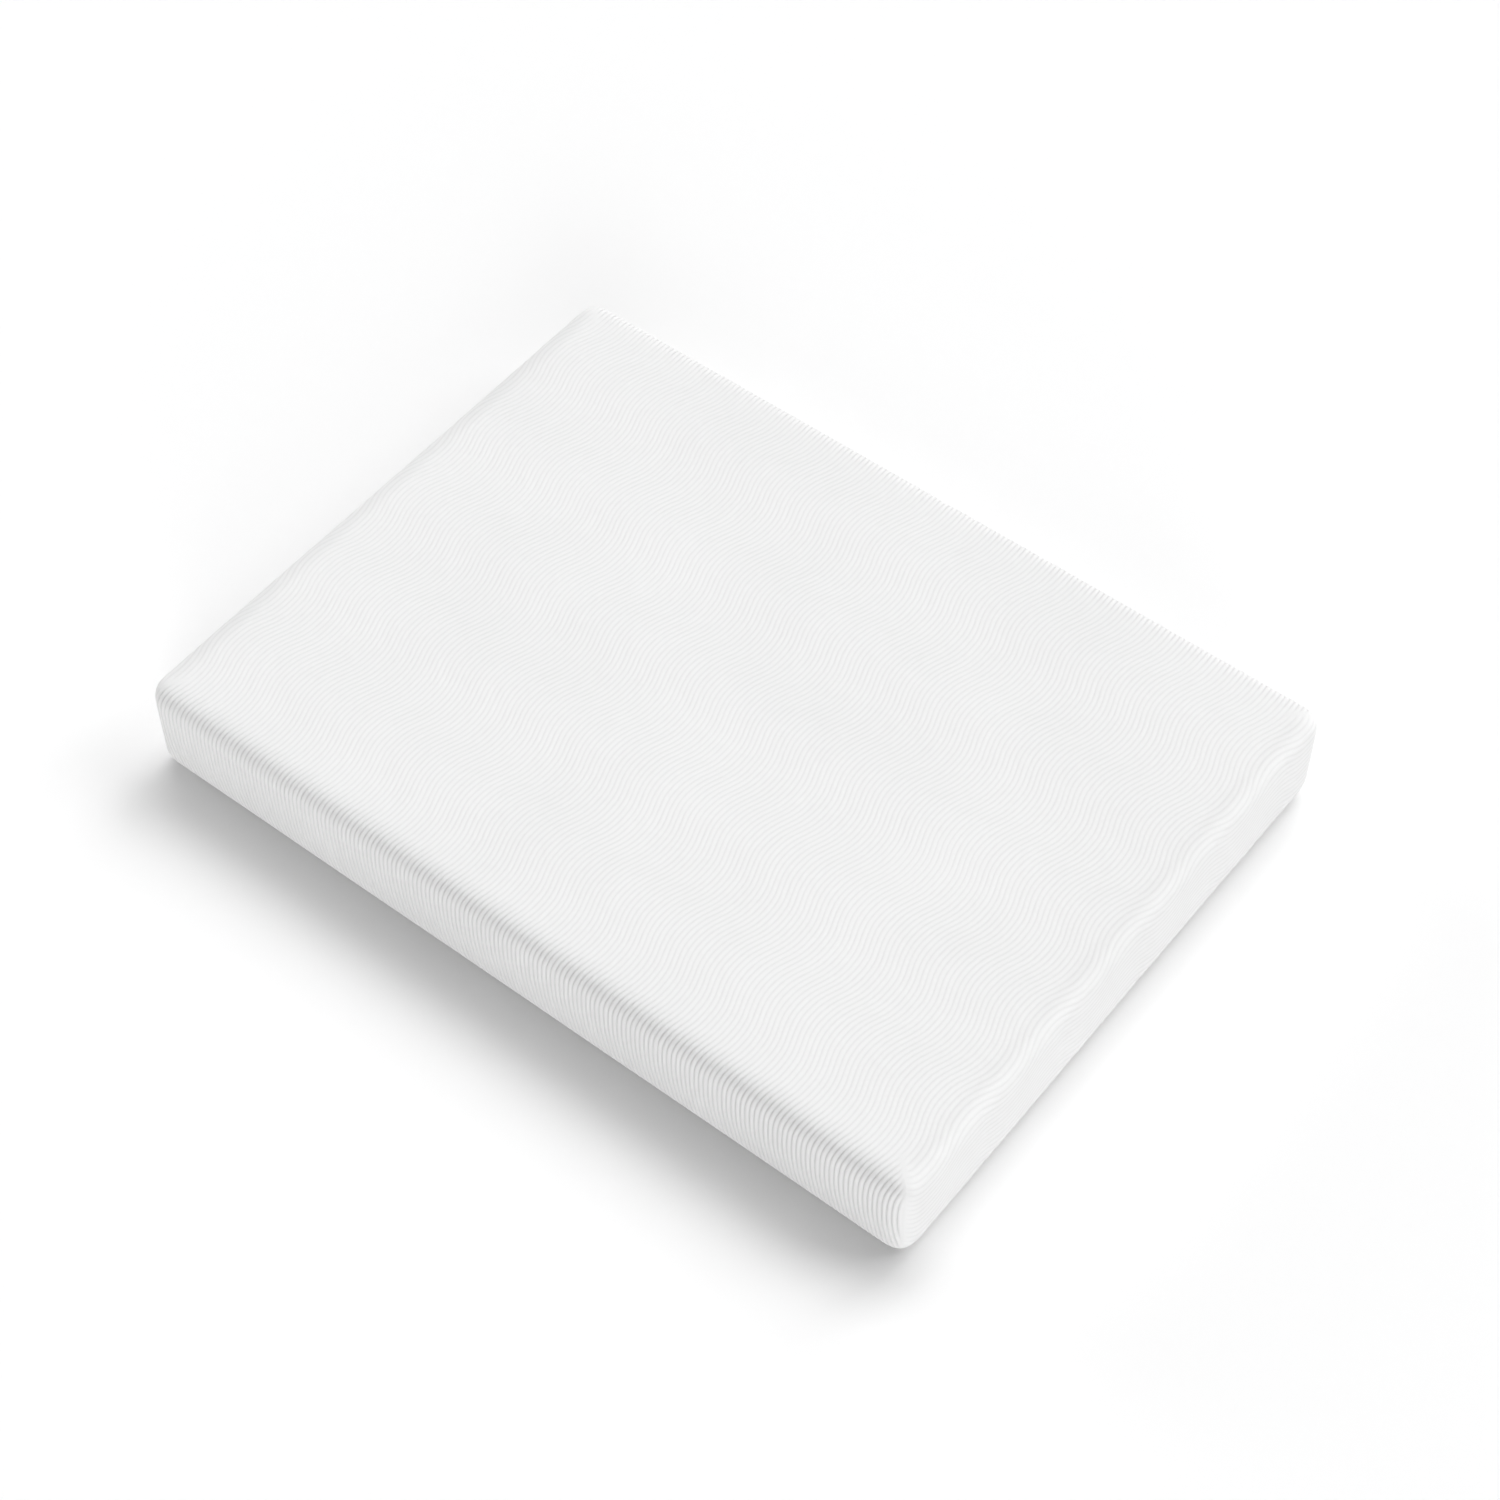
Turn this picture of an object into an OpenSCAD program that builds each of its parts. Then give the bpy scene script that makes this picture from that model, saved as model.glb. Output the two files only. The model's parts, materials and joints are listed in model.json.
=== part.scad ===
// Memory foam mattress, small double, on its own.
// A ribbed knit cover is closed round three foam layers by a bottom panel and a zip.
// The long sides lie along X, +Z is up and the origin is the middle of the underside.

/* [Overall size] */
// Length of the mattress, along X
mattress_l = 1900; // [1800:10:2100]
// Width of the mattress, along Y
mattress_w = 1400; // [800:10:2000]
// Height of the mattress
mattress_h = 250; // [220:5:320]
// Radius of the rounded edges and of the four corners
edge_r = 50; // [48:1:52]

/* [Cover] */
// Thickness of the knitted cover and of the bottom panel
cover_t = 2; // [1.5:0.25:2.5]
// Thickness of the fibre wadding sewn to the back of the cover
wadding_t = 8; // [6:0.5:9]
// Height of the seam between the cover and the bottom panel
seam_z = 20; // [19:0.5:22]
// Width of the tape that binds that seam, measured upright
binding_w = 7.4; // [6:0.2:8]
// How far the binding stands proud of the cover
binding_proud = 0.8; // [0.4:0.1:1.2]
// Thickness of the cord-like ridge along each sewn corner
corner_ridge_d = 2; // [1.5:0.25:2.5]

/* [Foam] */
// Thickness of the fire-barrier liner round the foam
liner_t = 1.5; // [1:0.25:2]
// Thickness of the memory foam on top
memory_t = 50; // [30:5:70]
// Thickness of the softer foam below it
transition_t = 50; // [30:5:60]
// Thickness of each glue film between two foams
glue_t = 0.4; // [0.3:0.1:0.6]
// How far the foam's flat underside reaches past the corner axes, before its sloped lower edge
core_toe = 3; // [1:0.5:4]

/* [Zip] */
// Half the length of the opening that the zip closes
zip_half_l = 885; // [380:5:890]
// Width of the opening between the two hems
zip_opening_w = 14; // [13:0.5:15]
// Width of each half of the tape, under its hem
tape_w = 11; // [10:0.5:11]
// Width of each half of the coil
coil_w = 2.4; // [2:0.1:2.6]
// Height of the coil above the tape
coil_h = 2.4; // [2:0.1:2.6]
// Gap between the two halves of the coil, where the slider's neck runs
coil_gap = 1.2; // [1.2:0.1:1.4]
// Length of the slider
slider_l = 13; // [11:0.5:15]
// Widest part of the slider
slider_w = 9.6; // [9.2:0.1:10]
// Length of the pull tab, from its hinge
tab_l = 22; // [18:1:24]
// Width of the pull tab at its free end
tab_w = 7; // [6:0.5:8]

/* [Labels] */
// Length of the wide label on the foot end
wide_label_l = 90; // [60:5:120]
// Length of the narrow label beside it
narrow_label_l = 50; // [40:5:70]
// Height of both labels
label_h = 60; // [40:5:80]

/* [Hidden] */
$fn = 96;

// Clearance left between one soft layer and the next
layer_gap = 0.3;
// Plan position of the corner axes, about which all four corners turn
corner_x = mattress_l / 2 - edge_r;
corner_y = mattress_w / 2 - edge_r;
// Slope of the surface at the seam, below the level of the lower corner axes
seam_angle = asin((edge_r - seam_z) / edge_r);
seam_y = corner_y + edge_r * cos(seam_angle);
hem_z = seam_z + binding_w / 2 + layer_gap;
rim_z = seam_z - binding_w / 2 - layer_gap;
// The wadding stops where the lower edge begins to turn in, which leaves room for the zip
wadding_end_z = edge_r;

// Insets of the layers from the outside of the cover
wadding_in = cover_t + layer_gap;
liner_in = wadding_in + wadding_t + layer_gap;
foam_in = liner_in + liner_t + layer_gap;
// Undersides of the liner and of the foam
liner_low = cover_t + layer_gap;
foam_low = liner_low + liner_t + layer_gap;
foam_top = mattress_h - foam_in;
memory_z = foam_top - memory_t;
transition_z = memory_z - glue_t - transition_t;
base_top = transition_z - glue_t;
// The liner's lower edge slopes at 45 degrees, and set in by a distance it grows shorter by a share of it
core_slope = edge_r - liner_in - core_toe;
slope_loss = 2 - sqrt(2);

// Heights in the zip, outward from the surface at the seam
tape_t = 0.6;
tape_out = -3.6;
coil_out = tape_out + coil_h;
part_gap = 0.3;
plate_t = 1.2;
plate_in = coil_out + part_gap;
plate_out = plate_in + plate_t;
under_plate_out = tape_out - tape_t - part_gap;
under_plate_in = under_plate_out - plate_t;
tape_edge = 1;
coil_edge = coil_gap / 2 + coil_w;
stop_l = 5;
coil_end = zip_half_l - stop_l - 2;
// The neck joins the slider's two plates and runs between the coils
neck_w = coil_gap - 2 * part_gap;
neck_l = 3;
// Closed, the slider stands 1 mm short of its stop
slider_rest = -(coil_end - slider_l / 2 - 1);
// The pull tab turns on a round bar under the slider's bail
bar_r = 0.7;
hinge_out = plate_out + part_gap + bar_r;
bail_half_w = 1;
bail_half_l = 4;
bail_t = 1;
bail_in = hinge_out + bar_r + 0.35;
tab_t = 1;
arm_w = 1.2;
arm_in = bail_half_w + 0.4;
arm_l = 5.2;
recess_d = 0.25;

// Corner ridge: how far its middle lies from the corner axis, and the sides of its section
ridge_out = edge_r + layer_gap / 2 + corner_ridge_d / 2;
ridge_sides = 8;
// It runs from the hem, below level, to this far up the top edge, in steps on each bend
ridge_top_turn = 50;
ridge_hem_turn = asin((edge_r - hem_z) / edge_r);
ridge_steps = 6;
// Rings of the ridge: [angle above level, height that it bends about]
ridge_rings = concat(
    [for (i = [ridge_steps:-1:0]) [-ridge_hem_turn * i / ridge_steps, edge_r]],
    [for (i = [0:ridge_steps]) [ridge_top_turn * i / ridge_steps, mattress_h - edge_r]]
);

// Labels on the foot end: their thickness, the height they start at and the gap between them
label_t = 0.4;
label_z = 90;
label_gap = 20;

// Half section of a wall with both edges rounded, drawn outward from the corner axis
module wall_section(inset)
{
    r = edge_r - inset;
    translate([0, edge_r])
        square([r, mattress_h - 2 * edge_r]);
    for (z = [edge_r, mattress_h - edge_r])
        intersection() {
            translate([0, z])
                circle(r = r);
            translate([0, z - r])
                square([r, 2 * r]);
        }
}

// The same for the foam and its liner: round at the top, sloped at the bottom
module core_section(inset, low)
{
    r = edge_r - inset;
    slope = core_slope - slope_loss * (inset - liner_in);
    translate([0, low + slope])
        square([r, mattress_h - edge_r - low - slope]);
    intersection() {
        translate([0, mattress_h - edge_r])
            circle(r = r);
        translate([0, mattress_h - edge_r])
            square([r, r]);
    }
    polygon([[0, low], [r - slope, low], [r, low + slope], [0, low + slope]]);
}

// A level band across a section, from one height to another
module level_band(from_z, to_z)
{
    translate([0, from_z])
        square([2 * edge_r, to_z - from_z]);
}

// Carries a half section round all four sides and corners
module around_plan()
{
    corners = [[corner_x, corner_y], [-corner_x, corner_y], [-corner_x, -corner_y], [corner_x, -corner_y]];
    for (i = [0:3])
        translate(corners[i])
            rotate(90 * i)
                rotate_extrude(angle = 90)
                    children();
    for (turn = [0, 180])
        rotate(turn)
            translate([-corner_x, corner_y, 0])
                rotate([90, 0, 90])
                    linear_extrude(2 * corner_x)
                        children();
    for (turn = [90, 270])
        rotate(turn)
            translate([-corner_y, corner_x, 0])
                rotate([90, 0, 90])
                    linear_extrude(2 * corner_y)
                        children();
}

// The flat middle of a layer, inside the corner axes
module middle_slab(from_z, to_z)
{
    translate([-corner_x, -corner_y, from_z])
        cube([2 * corner_x, 2 * corner_y, to_z - from_z]);
}

// A slice of the foam block between two heights
module foam_slice(from_z, to_z)
{
    around_plan()
        intersection() {
            core_section(foam_in, foam_low);
            level_band(from_z, to_z);
        }
    middle_slab(from_z, to_z);
}

// Places zip parts: X along the zip, Y straight out of the cover, Z up the cover's surface
module on_zip_face()
{
    translate([0, seam_y, seam_z])
        rotate([-seam_angle, 0, 0])
            children();
}

// A bar along the zip, from its lowest to its highest corner
module zip_bar(low, high)
{
    translate(low)
        cube(high - low);
}

module zip_opening()
{
    on_zip_face()
        zip_bar([-zip_half_l, -6, -zip_opening_w / 2], [zip_half_l, 6, zip_opening_w / 2]);
}

// One-piece knit cover: the top and four skirts, down to the hem
module top_cover()
{
    color("whitesmoke")
        difference() {
            union() {
                around_plan()
                    intersection() {
                        difference() {
                            wall_section(0);
                            wall_section(cover_t);
                        }
                        level_band(hem_z, mattress_h);
                    }
                middle_slab(mattress_h - cover_t, mattress_h);
            }
            zip_opening();
        }
}

// Fibre wadding that gives the cover its soft, full edge
module cover_wadding()
{
    color("white") {
        around_plan()
            intersection() {
                difference() {
                    wall_section(wadding_in);
                    wall_section(wadding_in + wadding_t);
                }
                level_band(wadding_end_z, mattress_h);
            }
        middle_slab(mattress_h - wadding_in - wadding_t, mattress_h - wadding_in);
    }
}

// Plain bottom panel, turned up all round as far as the seam
module bottom_panel()
{
    color("gainsboro")
        difference() {
            union() {
                around_plan()
                    intersection() {
                        difference() {
                            wall_section(0);
                            wall_section(cover_t);
                        }
                        level_band(0, rim_z);
                    }
                middle_slab(0, cover_t);
            }
            zip_opening();
        }
}

// Woven tape that binds the seam everywhere but along the zip
module edge_binding()
{
    color("white")
        difference() {
            around_plan()
                intersection() {
                    translate([0, edge_r])
                        difference() {
                            circle(r = edge_r + binding_proud);
                            circle(r = edge_r - cover_t);
                        }
                    level_band(seam_z - binding_w / 2, seam_z + binding_w / 2);
                }
            translate([-zip_half_l, corner_y, 0])
                cube([2 * zip_half_l, 2 * edge_r, 2 * seam_z]);
        }
}

// Point of the corner ridge: round its section by side, and along it by ring
function ridge_point(ring, side) =
    let (reach = ridge_out + corner_ridge_d / 2 * cos(360 * side / ridge_sides))
    [
        reach * cos(ring[0]),
        corner_ridge_d / 2 * sin(360 * side / ridge_sides),
        ring[1] + reach * sin(ring[0])
    ];

// Sewn ridge that joins two skirts at one corner, from the hem to the top edge
module corner_seam(side_x, side_y)
{
    last = len(ridge_rings) - 1;
    points = [for (ring = ridge_rings) for (side = [0:ridge_sides - 1]) ridge_point(ring, side)];
    walls = [
        for (i = [0:last - 1])
            for (side = [0:ridge_sides - 1])
                let (a = i * ridge_sides, next = (side + 1) % ridge_sides)
                [a + side, a + ridge_sides + side, a + ridge_sides + next, a + next]
    ];
    foot = [for (side = [0:ridge_sides - 1]) side];
    head = [for (side = [ridge_sides - 1:-1:0]) last * ridge_sides + side];
    translate([side_x * corner_x, side_y * corner_y, 0])
        rotate(atan2(side_y, side_x))
            polyhedron(points = points, faces = concat([foot], walls, [head]));
}

module corner_seam_front_right()
{
    color("white")
        corner_seam(1, -1);
}

module corner_seam_back_right()
{
    color("white")
        corner_seam(1, 1);
}

module corner_seam_back_left()
{
    color("white")
        corner_seam(-1, 1);
}

module corner_seam_front_left()
{
    color("white")
        corner_seam(-1, -1);
}

// Knitted fire-barrier sock, closed all round the foam
module inner_liner()
{
    color("lightgray") {
        around_plan()
            difference() {
                core_section(liner_in, liner_low);
                core_section(liner_in + liner_t, liner_low + liner_t);
            }
        middle_slab(liner_low, liner_low + liner_t);
        middle_slab(mattress_h - liner_in - liner_t, mattress_h - liner_in);
    }
}

module memory_foam_layer()
{
    color("lightyellow")
        foam_slice(memory_z, foam_top);
}

module memory_glue_film()
{
    color("khaki")
        foam_slice(memory_z - glue_t, memory_z);
}

module transition_foam_layer()
{
    color("lightblue")
        foam_slice(transition_z, memory_z - glue_t);
}

module transition_glue_film()
{
    color("khaki")
        foam_slice(base_top, transition_z);
}

module base_foam_core()
{
    color("ghostwhite")
        foam_slice(foam_low, base_top);
}

module zip_tape(side)
{
    tape_end = zip_half_l + 8;
    on_zip_face()
        translate([0, 0, side > 0 ? tape_edge : -tape_edge - tape_w])
            zip_bar([-tape_end, tape_out - tape_t, 0], [tape_end, tape_out, tape_w]);
}

module zip_tape_upper()
{
    color("whitesmoke")
        zip_tape(1);
}

module zip_tape_lower()
{
    color("whitesmoke")
        zip_tape(-1);
}

module zip_coil(side)
{
    on_zip_face()
        translate([0, 0, side > 0 ? coil_gap / 2 : -coil_edge])
            zip_bar([-coil_end, tape_out, 0], [coil_end, coil_out, coil_w]);
}

module zip_coil_upper()
{
    color("white")
        zip_coil(1);
}

module zip_coil_lower()
{
    color("white")
        zip_coil(-1);
}

// Metal clip over both coils at one end of the zip
module zip_stop(side)
{
    on_zip_face()
        translate([side > 0 ? coil_end : -coil_end - stop_l, 0, 0])
            zip_bar([0, tape_out, -coil_edge], [stop_l, coil_out + part_gap, coil_edge]);
}

module zip_stop_closed_end()
{
    color("silver")
        zip_stop(-1);
}

module zip_stop_open_end()
{
    color("silver")
        zip_stop(1);
}

// Outline of the slider seen from outside: wide where the two coils enter, narrow behind
module slider_outline()
{
    half_l = slider_l / 2;
    half_w = slider_w / 2;
    rear_half_w = half_w - 0.6;
    nose = 1.6;
    polygon([
        [-half_l, half_w - nose],
        [-half_l + nose, half_w],
        [-half_l / 3, half_w],
        [half_l / 3, rear_half_w],
        [half_l - nose, rear_half_w],
        [half_l, rear_half_w - nose],
        [half_l, -rear_half_w + nose],
        [half_l - nose, -rear_half_w],
        [half_l / 3, -rear_half_w],
        [-half_l / 3, -half_w],
        [-half_l + nose, -half_w],
        [-half_l, -half_w + nose],
    ]);
}

// The slider's outline as a plate between two heights out of the cover
module slider_plate(from_out, to_out)
{
    translate([0, to_out, 0])
        rotate([90, 0, 0])
            linear_extrude(to_out - from_out)
                slider_outline();
}

// Slider: a plate each side of the tape, joined by a neck that runs between the coils
module zip_slider()
{
    channel = coil_edge + part_gap;
    color("silver")
        on_zip_face()
            translate([slider_rest, 0, 0]) {
                slider_plate(plate_in, plate_out);
                slider_plate(under_plate_in, under_plate_out);
                translate([-slider_l / 2 + 1, 0, 0])
                    zip_bar([0, under_plate_out, -neck_w / 2], [neck_l, plate_in, neck_w / 2]);
                difference() {
                    slider_plate(tape_out + part_gap, plate_in);
                    zip_bar([-slider_l, tape_out, -channel], [slider_l, plate_out, channel]);
                }
                difference() {
                    zip_bar([-bail_half_l, plate_out, -bail_half_w], [bail_half_l, bail_in + bail_t, bail_half_w]);
                    zip_bar([bail_t - bail_half_l, plate_out, -slider_w], [bail_half_l - bail_t, bail_in, slider_w]);
                }
            }
}

// Outline of the pull tab beyond its arms, from the arms to the rounded free end
module tab_outline(trim)
{
    end_r = tab_w / 2;
    start = arm_l + trim;
    inner_half_w = arm_in + arm_w - trim;
    polygon([
        [-inner_half_w, start],
        [inner_half_w, start],
        [end_r - trim, tab_l - end_r],
        [-end_r + trim, tab_l - end_r],
    ]);
    translate([0, tab_l - end_r])
        circle(r = end_r - trim);
}

// Pull tab: a bar through the bail, two arms and a flat grip, hanging straight out of the cover
module zip_pull_tab()
{
    color("silver")
        on_zip_face()
            translate([slider_rest, hinge_out, 0]) {
                translate([0, 0, -arm_in - arm_w])
                    cylinder(r = bar_r, h = 2 * (arm_in + arm_w), $fn = 32);
                for (z = [arm_in, -arm_in - arm_w])
                    zip_bar([-tab_t / 2, 0, z], [tab_t / 2, arm_l + 1, z + arm_w]);
                rotate([0, 90, 0])
                    difference() {
                        translate([0, 0, -tab_t / 2])
                            linear_extrude(tab_t)
                                tab_outline(0);
                        for (z = [tab_t / 2 - recess_d, -tab_t / 2 - 1])
                            translate([0, 0, z])
                                linear_extrude(1 + recess_d)
                                    tab_outline(1.2);
                    }
            }
}

// Blank label sewn flat on the foot end, clear of the two edges
module end_label(from_y, length)
{
    translate([-mattress_l / 2 - layer_gap / 2 - label_t, from_y, label_z])
        cube([label_t, length, label_h]);
}

module care_label()
{
    color("white")
        end_label(label_gap / 2, narrow_label_l);
}

module safety_label()
{
    color("white")
        end_label(-label_gap / 2 - wide_label_l, wide_label_l);
}

top_cover();
cover_wadding();
bottom_panel();
edge_binding();
corner_seam_front_right();
corner_seam_back_right();
corner_seam_back_left();
corner_seam_front_left();
inner_liner();
memory_foam_layer();
memory_glue_film();
transition_foam_layer();
transition_glue_film();
base_foam_core();
zip_tape_upper();
zip_tape_lower();
zip_coil_upper();
zip_coil_lower();
zip_stop_closed_end();
zip_stop_open_end();
zip_slider();
zip_pull_tab();
care_label();
safety_label();
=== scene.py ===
# %% [markdown]
# # A memory foam mattress
# A double mattress of 140 by 190 cm, 25 cm thick, lies flat on a pale floor. What shows is its
# cover: a white jersey with raised ribs that wander in waves across the bed. Under the cover lie a
# thin wadding, a liner and three slabs of foam. A tape hides the seam near the floor, and a zip runs
# along one long side. Everything soft is a surface worked out with numpy, so that every rib keeps
# its place over the edges, as real cloth does.

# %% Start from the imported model
import json
import math

import bmesh
import bpy
import numpy as np
from mathutils import Matrix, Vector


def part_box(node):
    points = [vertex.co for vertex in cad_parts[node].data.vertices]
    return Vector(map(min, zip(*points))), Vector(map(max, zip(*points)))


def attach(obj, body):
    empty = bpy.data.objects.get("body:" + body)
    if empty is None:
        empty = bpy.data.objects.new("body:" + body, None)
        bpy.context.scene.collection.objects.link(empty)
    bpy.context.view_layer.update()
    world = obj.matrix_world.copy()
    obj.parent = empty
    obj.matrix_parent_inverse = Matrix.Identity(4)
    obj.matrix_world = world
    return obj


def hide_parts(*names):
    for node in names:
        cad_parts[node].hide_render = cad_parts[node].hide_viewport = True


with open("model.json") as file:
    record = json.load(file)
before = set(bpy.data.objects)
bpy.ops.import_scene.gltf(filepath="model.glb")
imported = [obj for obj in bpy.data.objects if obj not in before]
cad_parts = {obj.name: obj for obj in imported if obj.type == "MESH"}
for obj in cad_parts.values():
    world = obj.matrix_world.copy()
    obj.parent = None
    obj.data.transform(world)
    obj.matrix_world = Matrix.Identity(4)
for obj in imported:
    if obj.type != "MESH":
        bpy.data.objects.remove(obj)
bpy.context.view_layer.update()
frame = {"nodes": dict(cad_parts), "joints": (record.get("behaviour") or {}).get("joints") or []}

# %% [markdown]
# ## Sizes
# The mattress is measured from its own frame. The cover sets the length, the width and the height,
# and the base sets the height of the seam. The only sizes given here are the ones that describe the
# cloth: how far its edges round over, and how square they are.

# %% Main sizes, in metres
cover_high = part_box("top_cover")[1]
HALF_L = float(cover_high.x)
HALF_W = float(cover_high.y)
HEIGHT = float(cover_high.z)
REACH = 0.060  # how far the edges and the upright corners round over
TOP_POWER, EDGE_POWER = 3.2, 2.5  # squareness of the top edge and of the bottom edge
CORNER_POWER = 3.0  # squareness of the upright corners, seen from above
FLAT_X = HALF_L - REACH
FLAT_Y = HALF_W - REACH
binding_low, binding_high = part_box("edge_binding")
BAND_LOW = float(binding_low.z)
BAND_HIGH = float(binding_high.z)
SEAM_Z = (BAND_LOW + BAND_HIGH) / 2
print("half sizes", HALF_L, HALF_W, "height", HEIGHT, "seam at", round(SEAM_Z, 4))

# %% [markdown]
# ## The edge and the corner as curves
# A foam block under a tight cover has edges that are rounder than a box and squarer than a pipe. A
# superellipse gives this with one number: at a power of 2 it is a circle, and higher powers are
# squarer. One such curve rounds the top and bottom edges, and another rounds the upright corners.
# Both are kept as tables by length along the curve, so that cloth can be laid over them with no
# stretching that isn't meant.

# %% Profile of the edge
def edge_profile():
    """Height against reach, from the flat top, round the edge, down the side and in below it.

    The round parts follow (r / R)^n + (h / R)^n = 1, where r is the reach outwards and h the height
    above the middle of the round. The top edge, where the cover is pulled flat over the foam, is a
    little squarer than the bottom one. Returns length along the curve, reach, height."""
    t = np.linspace(0, np.pi / 2, 600)
    top_r, top_h = (REACH * f(t) ** (2 / TOP_POWER) for f in (np.sin, np.cos))
    low_r, low_h = (REACH * f(t) ** (2 / EDGE_POWER) for f in (np.sin, np.cos))
    reach = np.concatenate([top_r, low_r[::-1]])
    height = np.concatenate([HEIGHT - REACH + top_h, REACH - low_h[::-1]])
    length = np.concatenate([[0], np.cumsum(np.hypot(np.diff(reach), np.diff(height)))])
    return length, reach, height


EDGE_A, EDGE_R, EDGE_H = edge_profile()
EDGE_DR, EDGE_DH = np.gradient(EDGE_R, EDGE_A), np.gradient(EDGE_H, EDGE_A)


def length_at_height(h):
    """The length along the edge curve where it comes down to the height h."""
    return float(np.interp(-h, -EDGE_H, EDGE_A))


HEM_A = length_at_height(BAND_HIGH + 0.0003)
RIM_A = length_at_height(BAND_LOW - 0.0003)
SEAM_A = length_at_height(SEAM_Z)
ROUND_A = length_at_height(HEIGHT - REACH)
print("over the edge", round(ROUND_A, 4), "to the hem", round(HEM_A, 4))


# %% Plan of a corner
def corner_plan():
    """Half of an upright corner seen from above, from its straight side to its mitre at 45 degrees.

    It is (x^m + y^m = 1) for a reach of 1. Returns length, x, y and the two slopes."""
    t = np.linspace(0, np.pi / 4, 400)
    x, y = np.sin(t) ** (2 / CORNER_POWER), np.cos(t) ** (2 / CORNER_POWER)
    length = np.concatenate([[0], np.cumsum(np.hypot(np.diff(x), np.diff(y)))])
    dx, dy = np.gradient(x, length), np.gradient(y, length)
    return length, x, y, dx, dy


PLAN_W, PLAN_X, PLAN_Y, PLAN_DX, PLAN_DY = corner_plan()
MITRE = float(PLAN_W[-1])
print("half a corner is", round(MITRE, 4), "of its reach")


def to_mitre(a):
    """Distance from the flat top's corner to the mitre, at the length a over the edge."""
    return MITRE * np.interp(a, EDGE_A, EDGE_R)


# %% A point and its outward direction on the block
def on_side(along, flat, a):
    """Points on a side whose straight part ends at +-flat, at the length a over the edge.

    along is measured in the plane of the side and goes on round the corner. Returns the place along
    the side, the place outwards, the height and the outward direction, each as an array."""
    r, h = np.interp(a, EDGE_A, EDGE_R), np.interp(a, EDGE_A, EDGE_H)
    dr, dh = np.interp(a, EDGE_A, EDGE_DR), np.interp(a, EDGE_A, EDGE_DH)
    over = np.clip(np.abs(along) - flat, 0, None)
    w = np.where(r > 1e-9, over / np.maximum(r, 1e-9), 0).clip(0, MITRE)
    cx, cy = np.interp(w, PLAN_W, PLAN_X), np.interp(w, PLAN_W, PLAN_Y)
    tx, ty = np.interp(w, PLAN_W, PLAN_DX), np.interp(w, PLAN_W, PLAN_DY)
    round_part = over > 0
    tx, ty = np.where(round_part, tx, 1.0), np.where(round_part, ty, 0.0)
    side = np.sign(along)
    place = side * np.where(round_part, flat + r * cx, np.abs(along))
    out = np.where(round_part, r * cy, r)
    n_along, n_out = dh * ty * side, -dh * tx
    n_up = dr * (tx * np.where(round_part, cy, 1.0) - ty * np.where(round_part, cx, 0.0))
    size = np.sqrt(n_along**2 + n_out**2 + n_up**2)
    return place, out, h, n_along / size, n_out / size, n_up / size


# %% [markdown]
# ## Laying the ribs
# The cover is knitted flat and then pulled over the block. So the ribs belong to the flat cloth: a
# point of cloth has two flat coordinates, and the block's shape only says where it ends up. Over the
# top the cloth is as knitted. Over the edges it is pulled down and stretches to 1.5 times, so ribs
# sit wider apart on the ends and their waves grow longer on the long sides. Each rib has six columns
# of points, closest together by its valley.

# %% Rib pattern
RIB_PITCH = 0.0109
WAVE_LENGTH, WAVE_HEIGHT = 0.2539, 0.0138
WAVE_THIRD = 0.0007  # height of the third harmonic
WAVE_START = -1.273  # phase of the wave in the middle of the bed, in radians
RIB_OFFSET = -0.0089
SIDE_STRETCH = 1.50
stretch_a = np.linspace(0, EDGE_A[-1], 800)
ramp = np.clip(stretch_a / ROUND_A, 0, 1)
stretch = 1 + (SIDE_STRETCH - 1) * ramp * ramp * (3 - 2 * ramp)
step = np.diff(stretch_a) * (1 / stretch[1:] + 1 / stretch[:-1]) / 2
stretch_cloth = np.concatenate([[0], np.cumsum(step)])


def cloth_of(a):
    """Length of cloth used to go the length a over the edge."""
    return np.interp(a, stretch_a, stretch_cloth)


def length_of(cloth):
    """The opposite: how far over the edge a length of cloth reaches."""
    return np.interp(cloth, stretch_cloth, stretch_a)


def rib_shift(v):
    """How far a rib has wandered along the bed at the cloth coordinate v across it: a sine wave with
    a little of its third harmonic, which flattens its crests."""
    t = 2 * np.pi * -v / WAVE_LENGTH + WAVE_START
    return RIB_OFFSET + WAVE_HEIGHT * np.sin(t) + WAVE_THIRD * np.sin(3 * t)


HEM_CLOTH = float(cloth_of(HEM_A))
RIB_STEPS = np.array([0, 0.11, 0.3, 0.5, 0.7, 0.89])
reach_ribs = int(math.ceil((FLAT_X + HEM_CLOTH + 0.03) / RIB_PITCH)) + 2
rib_number = np.arange(-reach_ribs, reach_ribs)
PHASE = np.append((rib_number[:, None] + RIB_STEPS).ravel(), float(reach_ribs))
PER_RIB = len(RIB_STEPS)
print("ribs", len(rib_number), "columns", len(PHASE))

# %% [markdown]
# A rib is a soft roll with a sharp valley on each side, where the binder yarn pulls the two faces of
# the cloth together. A power of a sine gives that: broad on top and narrow below. The ribs stand
# highest on the long sides, where the pull runs along them, and flatter where it runs across them.
# They die out towards a seam, which holds the cloth down.

# %% Height of the cloth above the block
RIB_POWER = 0.7
RIB_MEAN = 0.70  # the mean of that power of a sine, which keeps the cloth's own level
TOP_RISE, SIDE_RISE = 0.0008, 0.0024
CLOTH_LIFT = 0.0002
SEAM_FADE, HEM_FADE = 0.014, 0.006
VALLEY_SHADE = 0.05  # share of the painted valley shade that even a flat rib keeps
END_PAINTED_SHADE = 0.20  # painted shade laid on the ends and their top shoulder, which dims the light they catch


def ease(x):
    """0 below 0, 1 above 1, and smooth between them."""
    x = np.clip(x, 0, 1)
    return x * x * (3 - 2 * x)


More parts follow.
